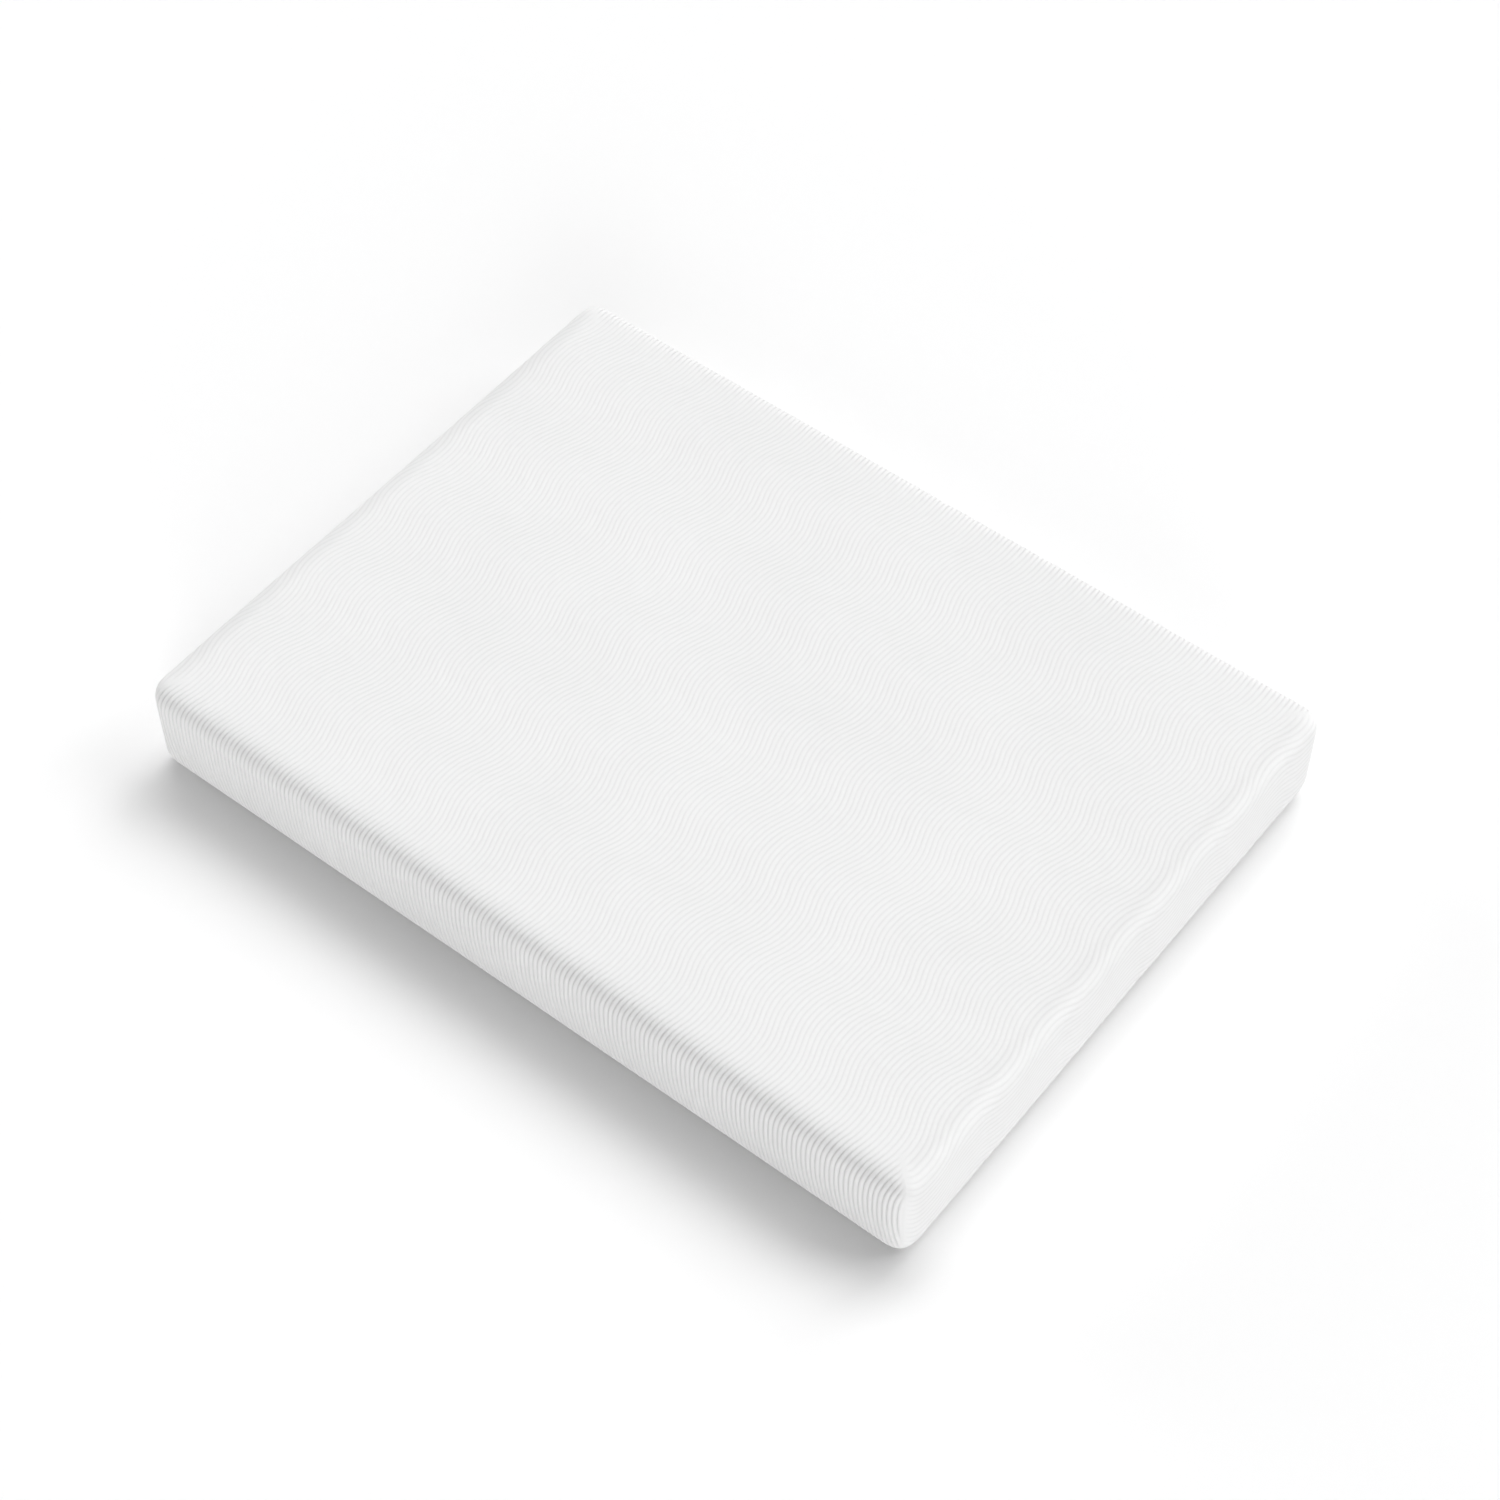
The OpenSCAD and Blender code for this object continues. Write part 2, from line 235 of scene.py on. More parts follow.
def lie(x, y):
    """Long, shallow unevenness of a soft top, a few tenths of a millimetre, from crossed waves."""
    return 0.0004 * (
        np.sin(3.1 * x + 1.3) * np.sin(4.3 * y + 0.4) + 0.6 * np.sin(9.7 * x - 5.1 * y + 2.0)
    )


def cloth_height(kind, phase, from_mitre, from_hem, x, y, a):
    """Rise of the ribs: rise(kind, a) * (|sin(pi phase)| ** power - mean), let down to nothing where
    the cloth is sewn. Also gives a painted shade, darkest in the bottom of the deepest valleys."""
    below = ease(a / (0.6 * ROUND_A))
    sewn = ease(from_mitre / SEAM_FADE)
    rib = np.abs(np.sin(np.pi * phase)) ** RIB_POWER
    rib = RIB_MEAN + (rib - RIB_MEAN) * sewn * ease(from_hem / HEM_FADE)
    rise = TOP_RISE + (SIDE_RISE - TOP_RISE) * below * sewn * (kind == "side")
    # Painted shade: the valleys are darkened in colour, the more the higher the ribs stand.
    shade = 1 - (1 - rib) * (VALLEY_SHADE + (1 - VALLEY_SHADE) * rise / SIDE_RISE)
    # Painted shade on the ends: their cloth is darkened from the top shoulder down.
    if kind == "band":
        shade -= END_PAINTED_SHADE * ease(a / (0.3 * ROUND_A)) * ease(from_mitre / (3 * SEAM_FADE))
    return rise * (rib - RIB_MEAN) + CLOTH_LIFT + lie(x, y), shade


# %% [markdown]
# ## The cover
# The cloth is laid in parts: a band that runs from one end's hem over the top to the other, a skirt
# down each long side, and four pieces that fill the corners between them. Every part uses the same
# numbered ribs, so they meet exactly where they join. At the upright corners the skirts meet in a
# mitre, as the sewn cover does.

# %% Parts of the cover
ZIP_END = float(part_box("zip_tape_upper")[1].x) - 0.008
ZIP_LIFT = HEM_A - length_at_height(SEAM_Z + 0.0056)
SETTLE_ROUNDS = 14


def part_points(kind, u, v, phase):
    """Points, outward directions, rib heights and rib shade of a part, from its cloth coordinates.

    kind is "band" for the top and the ends, or "side" for the long skirts."""
    if kind == "band":
        end = np.abs(u) > FLAT_X
        a = np.where(end, length_of(np.abs(u) - FLAT_X), 0)
        y, out, h, n_y, n_out, n_up = on_side(v, FLAT_Y, a)
        x = np.where(end, np.sign(u) * (FLAT_X + out), u)
        n_x = np.sign(u) * n_out
        top = ~end & (np.abs(v) <= FLAT_Y)
        mitre = np.where(end, to_mitre(a) + FLAT_Y - np.abs(v), 0)
        mitre = np.where(top, np.maximum(FLAT_X - np.abs(u), FLAT_Y - np.abs(v)), mitre)
    else:
        a = length_of(np.abs(v) - FLAT_Y)
        x, out, h, n_x, n_out, n_up = on_side(u, FLAT_X, a)
        y = np.sign(v) * (FLAT_Y + out)
        n_y = np.sign(v) * n_out
        top = np.zeros(u.shape, bool)
        mitre = to_mitre(a) + FLAT_X - np.abs(u)
    n = np.stack([n_x, n_y, n_up], -1)
    n[top | (a <= 0)] = (0, 0, 1)
    height, shade = cloth_height(kind, phase, mitre, HEM_A - a, x, y, a)
    return np.stack([x, y, np.where(top, HEIGHT, h)], -1), n, height, shade


def band_grid():
    """Cloth coordinates of the band: rows across the bed, columns on the ribs, cut at the hems."""
    v = np.linspace(-FLAT_Y, FLAT_Y, 81)[:, None]
    u = RIB_PITCH * PHASE[None, :] + rib_shift(v)
    limit = FLAT_X + HEM_CLOTH
    u = np.clip(u, -limit, limit)
    for row in (0, -1):
        for end in (-FLAT_X, FLAT_X):
            u[row, np.argmin(np.abs(u[row] - end))] = end
    return u, np.broadcast_to(v, u.shape)


def skirt_rows():
    """Lengths over the edge of a skirt's rows: close together on the rounds, wider on the flat."""
    lower = length_at_height(REACH)
    spans = ((0, ROUND_A, 12), (ROUND_A, lower, 8), (lower, HEM_A, 6))
    return np.concatenate([[0.0], *(np.linspace(a, b, n + 1)[1:] for a, b, n in spans)])


def skirt_grid(side):
    """Cloth coordinates of a long skirt, cut at the mitres. side is 1 or -1 for +Y or -Y."""
    a = skirt_rows()[:: side][:, None]
    v = side * (FLAT_Y + cloth_of(a))
    u = RIB_PITCH * PHASE[None, :] + rib_shift(v)
    limit = FLAT_X + to_mitre(a)
    u = np.clip(u, -limit, limit)
    first = 0 if side > 0 else -1
    for end in (-FLAT_X, FLAT_X):
        full = RIB_PITCH * PHASE + rib_shift(v[first])
        u[first, np.argmin(np.abs(full - end))] = end
    return u, np.broadcast_to(v, u.shape)


def corner_grid(end, side, rows=7):
    """Cloth coordinates of the part of an end skirt that goes round a corner to the mitre.

    The mitre's place depends on how far down the cloth is, and that on the rib's wave, so the
    columns settle in a few rounds."""
    share = np.linspace(0, 1, rows)[:: side][:, None]
    u = np.full((rows, len(PHASE)), FLAT_X)
    limit = FLAT_X + HEM_CLOTH
    for _ in range(SETTLE_ROUNDS):
        v = side * (FLAT_Y + share * to_mitre(length_of(u - FLAT_X)))
        raw = RIB_PITCH * PHASE[None, :] + rib_shift(v)
        u = np.clip(end * raw, FLAT_X, limit)
    joint = 0 if side > 0 else -1
    u[joint, np.argmin(np.abs(end * raw[joint] - FLAT_X))] = FLAT_X
    return end * u, side * (FLAT_Y + share * to_mitre(length_of(u - FLAT_X)))


# %% [markdown]
# The cloth has a thickness, which shows where the zip opens the cover. Each part therefore gets an
# inner face 2 mm in, with one column to a rib, because nobody sees ribs from inside. The free edges
# are closed with a narrow strip.

# %% Grid faces
def grid_faces(rows, cols, start, turn=False):
    """Four-sided faces between the points of a grid that begins at the number start."""
    i = start + np.arange(rows * cols).reshape(rows, cols)
    q = np.stack([i[:-1, :-1], i[:-1, 1:], i[1:, 1:], i[1:, :-1]], -1).reshape(-1, 4)
    return q[:, ::-1] if turn else q


def ring_faces(rows, cols):
    """Four-sided faces between closed rings of points. Gives the point numbers too."""
    i = np.arange(rows * cols).reshape(rows, cols)
    j = np.roll(i, -1, axis=1)
    return i, np.stack([i[:-1], j[:-1], j[1:], i[1:]], -1).reshape(-1, 4)


def strip(outer, inner, turn=False):
    """Faces between two equal rows of point numbers."""
    q = np.stack([outer[1:], outer[:-1], inner[:-1], inner[1:]], -1)
    return q[:, ::-1] if turn else q


def fan_strip(outer, inner, turn=False):
    """Triangles between a fine row of points and a row with one point to each rib."""
    k = PER_RIB
    o = np.stack([outer[i : len(outer) - 1 : k] for i in range(k)] + [outer[k::k]], -1)
    left, right = inner[:-1], inner[1:]
    tris = [np.stack([o[:, i + 1], o[:, i], left], -1) for i in range(k // 2)]
    tris.append(np.stack([left, right, o[:, k // 2]], -1))
    tris += [np.stack([o[:, i + 1], o[:, i], right], -1) for i in range(k // 2, k)]
    t = np.concatenate(tris)
    return t[:, ::-1] if turn else t


COVER_WALL = 0.002
ZIP_FOLD, ZIP_RAMP = 0.012, 0.004  # how high the hem folds up beside the zip, and how fast at its ends
INNER_TONE = 0.5


def cover_part(kind, u, v, closed, start):
    """Outer and inner face of one part, and strips along the edges named in closed."""
    p, n, rise, shade = part_points(kind, u, v, PHASE[None, :])
    a_side = np.abs(v) - FLAT_Y
    if kind == "side" and v.max() > 0:
        at_hem = ease((length_of(a_side) - HEM_A + ZIP_FOLD) / ZIP_FOLD)
        lift = ZIP_LIFT * at_hem * ease((ZIP_END - np.abs(p[..., 0])) / ZIP_RAMP)
        x, out, h, _, _, _ = on_side(u, FLAT_X, length_of(a_side) - lift)
        p = np.stack([x, FLAT_Y + out, h], -1)
    rows, cols = u.shape
    outer = p + n * rise[..., None]
    inner = (p - n * COVER_WALL)[:, ::PER_RIB]
    m = inner.shape[1]
    outside = start + np.arange(rows * cols).reshape(rows, cols)
    inside = start + rows * cols + np.arange(rows * m).reshape(rows, m)
    quads = [grid_faces(rows, cols, start), grid_faces(rows, m, start + rows * cols, True)]
    tris = []
    if "left" in closed:
        quads.append(strip(outside[:, 0], inside[:, 0], True))
    if "right" in closed:
        quads.append(strip(outside[:, -1], inside[:, -1]))
    if "first" in closed:
        tris.append(fan_strip(outside[0], inside[0]))
    if "last" in closed:
        tris.append(fan_strip(outside[-1], inside[-1], True))
    points = np.concatenate([outer.reshape(-1, 3), inner.reshape(-1, 3)])
    flat = np.stack([u, v], -1)
    flat = np.concatenate([flat.reshape(-1, 2), flat[:, ::PER_RIB].reshape(-1, 2)])
    tone = np.concatenate([shade.ravel(), np.full(inside.size, INNER_TONE)])
    return points, flat, tone, quads, tris


# %% [markdown]
# The grids go into Blender as whole arrays, which is quick for half a million points. Parts meet
# point on point, so joining equal points makes one closed cloth of them.

# %% A mesh from arrays
def make_mesh(name, points, quads=(), tris=(), uv=None, tone=None):
    """Puts whole arrays into a mesh: points, faces, a uv map "cloth" and a value "tone" per point."""
    faces = [np.asarray(f) for f in [*quads, *tris] if len(f)]
    sizes = np.concatenate([np.full(len(f), f.shape[1]) for f in faces])
    corners = np.concatenate([f.ravel() for f in faces])
    mesh = bpy.data.meshes.new(name)
    mesh.vertices.add(len(points))
    mesh.vertices.foreach_set("co", np.asarray(points, np.float32).ravel())
    mesh.loops.add(len(corners))
    mesh.loops.foreach_set("vertex_index", corners.astype(np.int32))
    mesh.polygons.add(len(sizes))
    mesh.polygons.foreach_set("loop_start", (np.cumsum(sizes) - sizes).astype(np.int32))
    mesh.polygons.foreach_set("use_smooth", np.ones(len(sizes), bool))
    if uv is not None:
        layer = mesh.uv_layers.new(name="cloth")
        layer.data.foreach_set("uv", np.asarray(uv, np.float32)[corners].ravel())
    if tone is not None:
        layer = mesh.attributes.new("tone", "FLOAT", "POINT")
        layer.data.foreach_set("value", np.asarray(tone, np.float32))
    mesh.update(calc_edges=True)
    mesh.validate()
    return mesh


FEW_RIMS = 40  # a cover has a few open edges left at its corners, and an open shell has hundreds


def merge(mesh, gap=1e-6):
    """Joins points that lie on each other, drops faces that this leaves with no area, and where a
    long open edge passes a point of its neighbour, splits it there and joins that too. Returns how
    many edges stay open."""
    work = bmesh.new()
    work.from_mesh(mesh)
    bmesh.ops.remove_doubles(work, verts=work.verts, dist=gap)
    bmesh.ops.dissolve_degenerate(work, edges=work.edges, dist=gap)
    rims = [e for e in work.edges if e.is_boundary]
    ends = {v for e in rims for v in e.verts}
    for e in rims if len(rims) < FEW_RIMS else []:
        (a, b), long = e.verts, e.calc_length()
        on_it = [v for v in ends - {a, b} if (v.co - a.co).length + (v.co - b.co).length < long + gap]
        if on_it:
            share = (on_it[0].co - a.co).length / long
            bmesh.utils.edge_split(e, a, share)[1].co = on_it[0].co
    bmesh.ops.remove_doubles(work, verts=work.verts, dist=gap)
    open_edges = sum(1 for e in work.edges if e.is_boundary)
    work.to_mesh(mesh)
    work.free()
    return open_edges


def put(name, mesh, material, body, replaced=()):
    """Makes the object, gives it its finish, lets it ride on its body and stand for its CAD nodes."""
    piece = bpy.data.objects.new(name, mesh)
    bpy.context.scene.collection.objects.link(piece)
    mesh.materials.append(material)
    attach(piece, body)
    if replaced:
        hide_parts(*replaced)
    print(name, len(mesh.polygons), "faces")
    return piece


# %% [markdown]
# ## Finishes
# Colours are written as sRGB hex, as a dye card gives them, and turned to linear light once. One
# small function adds a node with its settings and links.

# %% Colour and node helpers
def dye(code):
    """Linear colour of an sRGB hex code."""
    c = np.array([int(code[i : i + 2], 16) / 255 for i in (0, 2, 4)])
    c = np.where(c <= 0.04045, c / 12.92, ((c + 0.055) / 1.055) ** 2.4)
    return (*c, 1.0)


def add(tree, kind, feeds=None, **settings):
    """Adds a node. feeds gives its inputs by name or number: a value, or another node's output."""
    node = tree.nodes.new(kind)
    for key, value in settings.items():
        setattr(node, key, value)
    for key, value in (feeds or {}).items():
        if isinstance(value, bpy.types.NodeSocket):
            tree.links.new(value, node.inputs[key])
        else:
            node.inputs[key].default_value = value
    return node


def finish(name, **settings):
    """A material with one Principled shader, whose constant sockets are set directly. Gives the
    material, its nodes and its shader."""
    material = bpy.data.materials.new(name)
    material.use_nodes = True
    tree = material.node_tree
    shader = tree.nodes["Principled BSDF"]
    for key, value in settings.items():
        shader.inputs[key.replace("_", " ")].default_value = value
    return material, tree, shader


def mottled(name, low, high, scale, detail=2.0, strength=0, depth=0, distortion=0.0, **settings):
    """A finish of two dyes mixed by a noise, which also makes a bump where it has a strength."""
    material, tree, shader = finish(name, **settings)
    spot = add(tree, "ShaderNodeTexCoord")
    grain = add(tree, "ShaderNodeTexNoise", {0: spot.outputs["Object"], "Scale": scale,
                                             "Detail": detail, "Distortion": distortion})
    mix = add(tree, "ShaderNodeMix", {"Factor": grain.outputs["Fac"], "A": dye(low), "B": dye(high)},
              data_type="RGBA")
    tree.links.new(mix.outputs["Result"], shader.inputs["Base Color"])
    if strength:
        bump = add(tree, "ShaderNodeBump", {"Height": grain.outputs["Fac"], "Strength": strength,
                                            "Distance": depth})
        tree.links.new(bump.outputs[0], shader.inputs["Normal"])
    return material


def thicken(piece, name, thickness, offset=-1.0):
    """Gives a sheet its thickness: inwards, or to both sides at an offset of 0."""
    wall = piece.modifiers.new(name, "SOLIDIFY")
    wall.thickness, wall.offset = thickness, offset


# %% [markdown]
# ** Ribbed jersey.** Polyester jersey in optic white, double knitted with a binder yarn. Its surface
# is a field of tiny loops, about 1.5 mm apart, too fine to see from across a room, so they are drawn
# 4.4 mm apart and very low. The valleys between ribs carry a painted shade, deepest where the ribs
# stand highest, and the ends carry a painted shade too. Loose fibres give a faint sheen at the edges.

# %% Ribbed jersey
LOOP = 0.0044
BANDS = 0.159  # the scale at which a wave texture repeats every two units
jersey, tree, shader = finish(
    "optic_white_ribbed_polyester_jersey",
    Roughness=0.92,
    IOR=1.45,
    Specular_IOR_Level=0.25,
    Sheen_Weight=0.12,
    Sheen_Roughness=0.5,
)
cloth_uv = add(tree, "ShaderNodeUVMap", uv_map="cloth")
loops = add(tree, "ShaderNodeMapping", {0: cloth_uv.outputs[0], "Scale": (2 / LOOP, 2 / LOOP, 1)})
wave = {0: loops.outputs[0], "Scale": BANDS, "Distortion": 0.6, "Detail": 1.0, "Detail Scale": 0.8}
wales = add(tree, "ShaderNodeTexWave", wave, bands_direction="X")
courses = add(tree, "ShaderNodeTexWave", wave, bands_direction="Y")
knit = add(tree, "ShaderNodeMath", {0: wales.outputs["Fac"], 1: courses.outputs["Fac"]},
           operation="MULTIPLY")
fuzz = add(tree, "ShaderNodeTexNoise", {0: cloth_uv.outputs[0], "Scale": 420.0, "Detail": 2.0})
surface = add(tree, "ShaderNodeMath", {0: knit.outputs[0], 1: fuzz.outputs["Fac"]}, operation="ADD")
bump = add(tree, "ShaderNodeBump", {"Height": surface.outputs[0], "Strength": 0.2, "Distance": 0.00018})
tone = add(tree, "ShaderNodeAttribute", attribute_name="tone", attribute_type="GEOMETRY")
cloud = add(tree, "ShaderNodeTexNoise", {0: cloth_uv.outputs[0], "Scale": 2.6, "Detail": 3.0})
cloudy = add(tree, "ShaderNodeMapRange", {"Value": cloud.outputs["Fac"], "From Min": 0.3,
                                          "From Max": 0.7, "To Min": -0.06, "To Max": 0.06})
shade = add(tree, "ShaderNodeMath", {0: tone.outputs["Fac"], 1: cloudy.outputs[0]}, operation="ADD",
            use_clamp=True)
# The tone mixes the white down to d2d2d2: painted shade in the rib valleys and on the ends, plus a little
# random tone from the cloud.
white = add(tree, "ShaderNodeMix", {"Factor": shade.outputs[0], "A": dye("d2d2d2"), "B": dye("ededed")},
            data_type="RGBA")
tree.links.new(white.outputs["Result"], shader.inputs["Base Color"])
tree.links.new(bump.outputs[0], shader.inputs["Normal"])

# %% [markdown]
# The seven parts are laid out, joined and given the jersey. The cover keeps one surface, and only
# the folds of its hems and mitres are sharp, so the closing strips don't bend the light on the ribs.

# %% Sew the cover
parts = [("band", *band_grid(), ("left", "right"))]
for side in (1, -1):
    parts.append(("side", *skirt_grid(side), ("left", "right", "last" if side > 0 else "first")))
    for end in (1, -1):
        shut = ("right" if end > 0 else "left", "last" if side > 0 else "first")
        parts.append(("band", *corner_grid(end, side), shut))
points, flats, tones, quads, tris, count = [], [], [], [], [], 0
for kind, u, v, closed in parts:
    p, f, t, q, s = cover_part(kind, u, v, closed, count)
    points.append(p)
    flats.append(f)
    tones.append(t)
    quads += q
    tris += s
    count += len(p)
points, flats, tones = (np.concatenate(x) for x in (points, flats, tones))
cover_mesh = make_mesh("ribbed_cover", points, quads, tris, flats, tones)
print("open edges left in the cover:", merge(cover_mesh))
cover_mesh.set_sharp_from_angle(angle=math.radians(75))
cover = put("ribbed_cover", cover_mesh, jersey, "mattress", ["top_cover"])

# %% [markdown]
# ## Lines and loops round the mattress
# The tape, the base and the inner layers all follow the same outline. It is given once, as stations
# round the mattress: a straight part that is the same at every height, and a share of the corner
# that grows with the reach. A loop at any level is then one line of numpy.

# %% Stations
CORNER_STEPS = 9
STATION_GAP = 0.05


def side_stations(flat):
    """Straight places and corner shares along one side, from its lower mitre to its upper one."""
    count = int(round(2 * flat / STATION_GAP)) + 1
    share = np.linspace(0, 1, CORNER_STEPS + 1)[1:]
    ends = np.full(CORNER_STEPS, flat)
    base = np.concatenate([-ends, np.linspace(-flat, flat, count), ends])
    corner = np.concatenate([-share[::-1], np.zeros(count), share])
    return base, corner


def side_line(edge, a, base, corner):
    """Points and outward directions along one side, at the length a over the edge.

    Sides are numbered clockwise from above: 0 is the zip side, 1 the right end, 2 the near side and
    3 the left end."""
    flat = FLAT_X if edge in (0, 2) else FLAT_Y
    other = FLAT_Y if edge in (0, 2) else FLAT_X
    along = base + corner * to_mitre(a)
    place, out, h, n_along, n_out, n_up = on_side(along, flat, np.full(len(along), float(a)))
    sign = 1 if edge in (0, 1) else -1
    far, n_far = sign * (other + out), sign * n_out
    if edge in (0, 2):
        line, way = np.stack([place, far, h], -1), np.stack([n_along, n_far, n_up], -1)
    else:
        line, way = np.stack([far, place, h], -1), np.stack([n_far, n_along, n_up], -1)
    return (line, way) if edge in (0, 3) else (line[::-1], way[::-1])


def loop(a):
    """A closed line round the mattress, clockwise from above, with its outward directions."""
    lines = [side_line(e, a, *side_stations(FLAT_X if e in (0, 2) else FLAT_Y)) for e in range(4)]
    return np.concatenate([p[:-1] for p, _ in lines]), np.concatenate([n[:-1] for _, n in lines])


def belt(a, gap_half):
    """The same line, left open between -gap_half and gap_half on the zip side."""
    base, corner = side_stations(FLAT_X)
    right, left = base > gap_half, base < -gap_half
    ahead = side_line(0, a, np.append(gap_half, base[right]), np.append(0, corner[right]))
    behind = side_line(0, a, np.append(base[left], -gap_half), np.append(corner[left], 0))
    rest = [side_line(e, a, *side_stations(FLAT_X if e == 2 else FLAT_Y)) for e in (1, 2, 3)]
    lines = [(p[:-1], n[:-1]) for p, n in (ahead, *rest)] + [behind]
    return np.concatenate([p for p, _ in lines]), np.concatenate([n for _, n in lines])


# %% [markdown]
# Tape, cord, zip tape and coil are all one section carried along a line, closed at both ends.

# %% A section carried along a line
def unit(v):
    """Each row at a length of 1."""
    return v / np.linalg.norm(v, axis=-1, keepdims=True)


def along_of(points):
    """Direction of a line at each of its points."""
    return unit(np.gradient(points, axis=0))


def run_of(points):
    """Distance along a line at each of its points."""
    return np.concatenate([[0], np.cumsum(np.linalg.norm(np.diff(points, axis=0), axis=1))])


def circle(sides):
    """Points round a circle of radius 1."""
    turn = np.arange(sides) * 2 * np.pi / sides
    return np.stack([np.cos(turn), np.sin(turn)], -1)


def sweep(points, out, up, section):
    """A closed section carried along a line: a point of a ring is the line's point, plus the
    section's first number times out, plus its second times up. section may differ from ring to ring."""
    section = np.broadcast_to(section, (len(points), *np.shape(section)[-2:]))
    ring = points[:, None] + out[:, None] * section[..., :1] + up[:, None] * section[..., 1:]
    rows, cols = ring.shape[:2]
    i, quads = ring_faces(rows, cols)
    steps = np.linalg.norm(np.diff(section, axis=1), axis=2)
    around = np.concatenate([np.zeros((rows, 1)), np.cumsum(steps, 1)], 1)
    uv = np.stack([np.broadcast_to(run_of(points)[:, None], (rows, cols)), around], -1)
    return ring.reshape(-1, 3), [quads, i[0][::-1][None], i[-1][None]], uv.reshape(-1, 2)


def gather(parts):
    """Joins several (points, faces, uv) into one, and keeps the numbering right."""
    points, faces, uvs, count = [], [], [], 0
    for p, f, t in parts:
        points.append(p)
        uvs.append(t)
        faces += [q + count for q in f]
        count += len(p)
    return np.concatenate(points), faces, np.concatenate(uvs)


# %% [markdown]
# Stitches are what makes sewn work look sewn. Each is a short grain of thread that dives into the
# cloth at both ends. There are thousands, so each has only four rings of five points. A ring is
# given by its place along the stitch, its width and its height.

# %% Stitches
STITCH_RINGS = np.array([(-1.0, 0.35, -0.6), (-0.55, 1.0, 0.35), (0.55, 1.0, 0.35), (1.0, 0.35, -0.6)])
STITCH_SIDES = 5
STITCH = (0.0046, 0.0036, 0.0006)  # spacing, length and thickness


def stitches(centres, along, out, length, thick):
    """Grains of thread: ring k lies at t_k of half the length, is r_k of the thickness wide and
    stands h_k of it above the cloth."""
    across = np.cross(along, out)
    turn = np.arange(STITCH_SIDES) * 2 * np.pi / STITCH_SIDES
    t, r, h = (STITCH_RINGS[:, k][None, :, None, None] for k in range(3))
    c = centres[:, None, None] + along[:, None, None] * t * length / 2
    c = c + out[:, None, None] * h * thick / 2
    round_part = out[:, None, None] * np.cos(turn)[:, None] + across[:, None, None] * np.sin(turn)[:, None]
    points = c + round_part * r * thick / 2
    n, k, s = points.shape[:3]
    i = np.arange(n * k * s).reshape(n, k, s)
    j = np.roll(i, -1, axis=2)
    quads = np.stack([i[:, :-1], j[:, :-1], j[:, 1:], i[:, 1:]], -1).reshape(-1, 4)
    ends = [i[:, 0, ::-1], i[:, -1]]
    uv = np.broadcast_to(t * length / 2, points.shape)[..., :2].reshape(-1, 2)
    return points.reshape(-1, 3), [quads, *ends], uv


def stitch_line(points, out, pitch, length, thick, lift=0.0):
    """Stitches at an even pitch along a line."""
    run = run_of(points)
    at = np.arange(pitch / 2, run[-1] - pitch / 4, pitch)
    spot = np.stack([np.interp(at, run, points[:, k]) for k in range(3)], -1)
    way = unit(np.stack([np.interp(at, run, out[:, k]) for k in range(3)], -1))
    line = along_of(points)
    go = unit(np.stack([np.interp(at, run, line[:, k]) for k in range(3)], -1))
    go = unit(go - way * np.sum(go * way, -1, keepdims=True))
    return stitches(spot + way * lift, go, way, length, thick)


# %% [markdown]
# **Thread and tape.** The thread is spun polyester with a soft gleam. The tape that hides the seam
# is a grosgrain: a narrow ribbon whose weft makes fine cross ribs. They are drawn 2.8 mm apart, and
# real ones are about 0.8 mm.

# %% Thread and tape finishes
thread, tree, shader = finish("spun_polyester_thread", Roughness=0.55, Sheen_Weight=0.2,
                              Specular_IOR_Level=0.4)
shader.inputs["Base Color"].default_value = dye("f2f2f2")
ply = add(tree, "ShaderNodeTexCoord")
twist = add(tree, "ShaderNodeTexWave", {0: ply.outputs["Object"], "Scale": 190.0}, bands_direction="DIAGONAL")
bump = add(tree, "ShaderNodeBump", {"Height": twist.outputs["Fac"], "Strength": 0.5, "Distance": 0.0001})
tree.links.new(bump.outputs[0], shader.inputs["Normal"])


def sew(name, points, faces, uv):
    """A row of stitches in that thread."""
    put(name, make_mesh(name, points, faces, uv=uv), thread, "mattress")


def woven(name, low, high, ribs_u, ribs_v, depth, **settings):
    """A woven finish: ribs across u and v of the cloth map, given by half their spacing, and a
    mottled dye."""
    material, tree, shader = finish(name, **settings)
    uv = add(tree, "ShaderNodeUVMap", uv_map="cloth")
    scale = add(tree, "ShaderNodeMapping", {0: uv.outputs[0], "Scale": (1 / ribs_u, 1 / ribs_v, 1)})
    wave = {0: scale.outputs[0], "Scale": BANDS, "Distortion": 0.3}
    weft = add(tree, "ShaderNodeTexWave", wave, bands_direction="X")
    warp = add(tree, "ShaderNodeTexWave", wave, bands_direction="Y")
    weave = add(tree, "ShaderNodeMath", {0: weft.outputs["Fac"], 1: warp.outputs["Fac"]},
                operation="MULTIPLY")
    noise = add(tree, "ShaderNodeTexNoise", {0: uv.outputs[0], "Scale": 600.0, "Detail": 3.0})
    tone = add(tree, "ShaderNodeMath", {0: weave.outputs[0], 1: noise.outputs["Fac"]}, operation="ADD")
    bump = add(tree, "ShaderNodeBump", {"Height": tone.outputs[0], "Strength": 0.6, "Distance": depth})
    mix = add(tree, "ShaderNodeMix", {"Factor": tone.outputs[0], "A": dye(low), "B": dye(high)},
              data_type="RGBA")
    tree.links.new(mix.outputs["Result"], shader.inputs["Base Color"])
    tree.links.new(bump.outputs[0], shader.inputs["Normal"])
    return material


grosgrain = woven("white_polyester_grosgrain_tape", "d2d2d3", "eeeeef", 0.0014, 0.0092, 0.00025,
                  Roughness=0.8, Sheen_Weight=0.1)

# %% [markdown]
# ## Tape over the seam
# The cover's hem and the base cloth meet 20 mm above the floor. A tape runs over that seam all the
# way round, but for the zip. Its middle is a little higher than its edges, which two rows of
# stitches pull down.

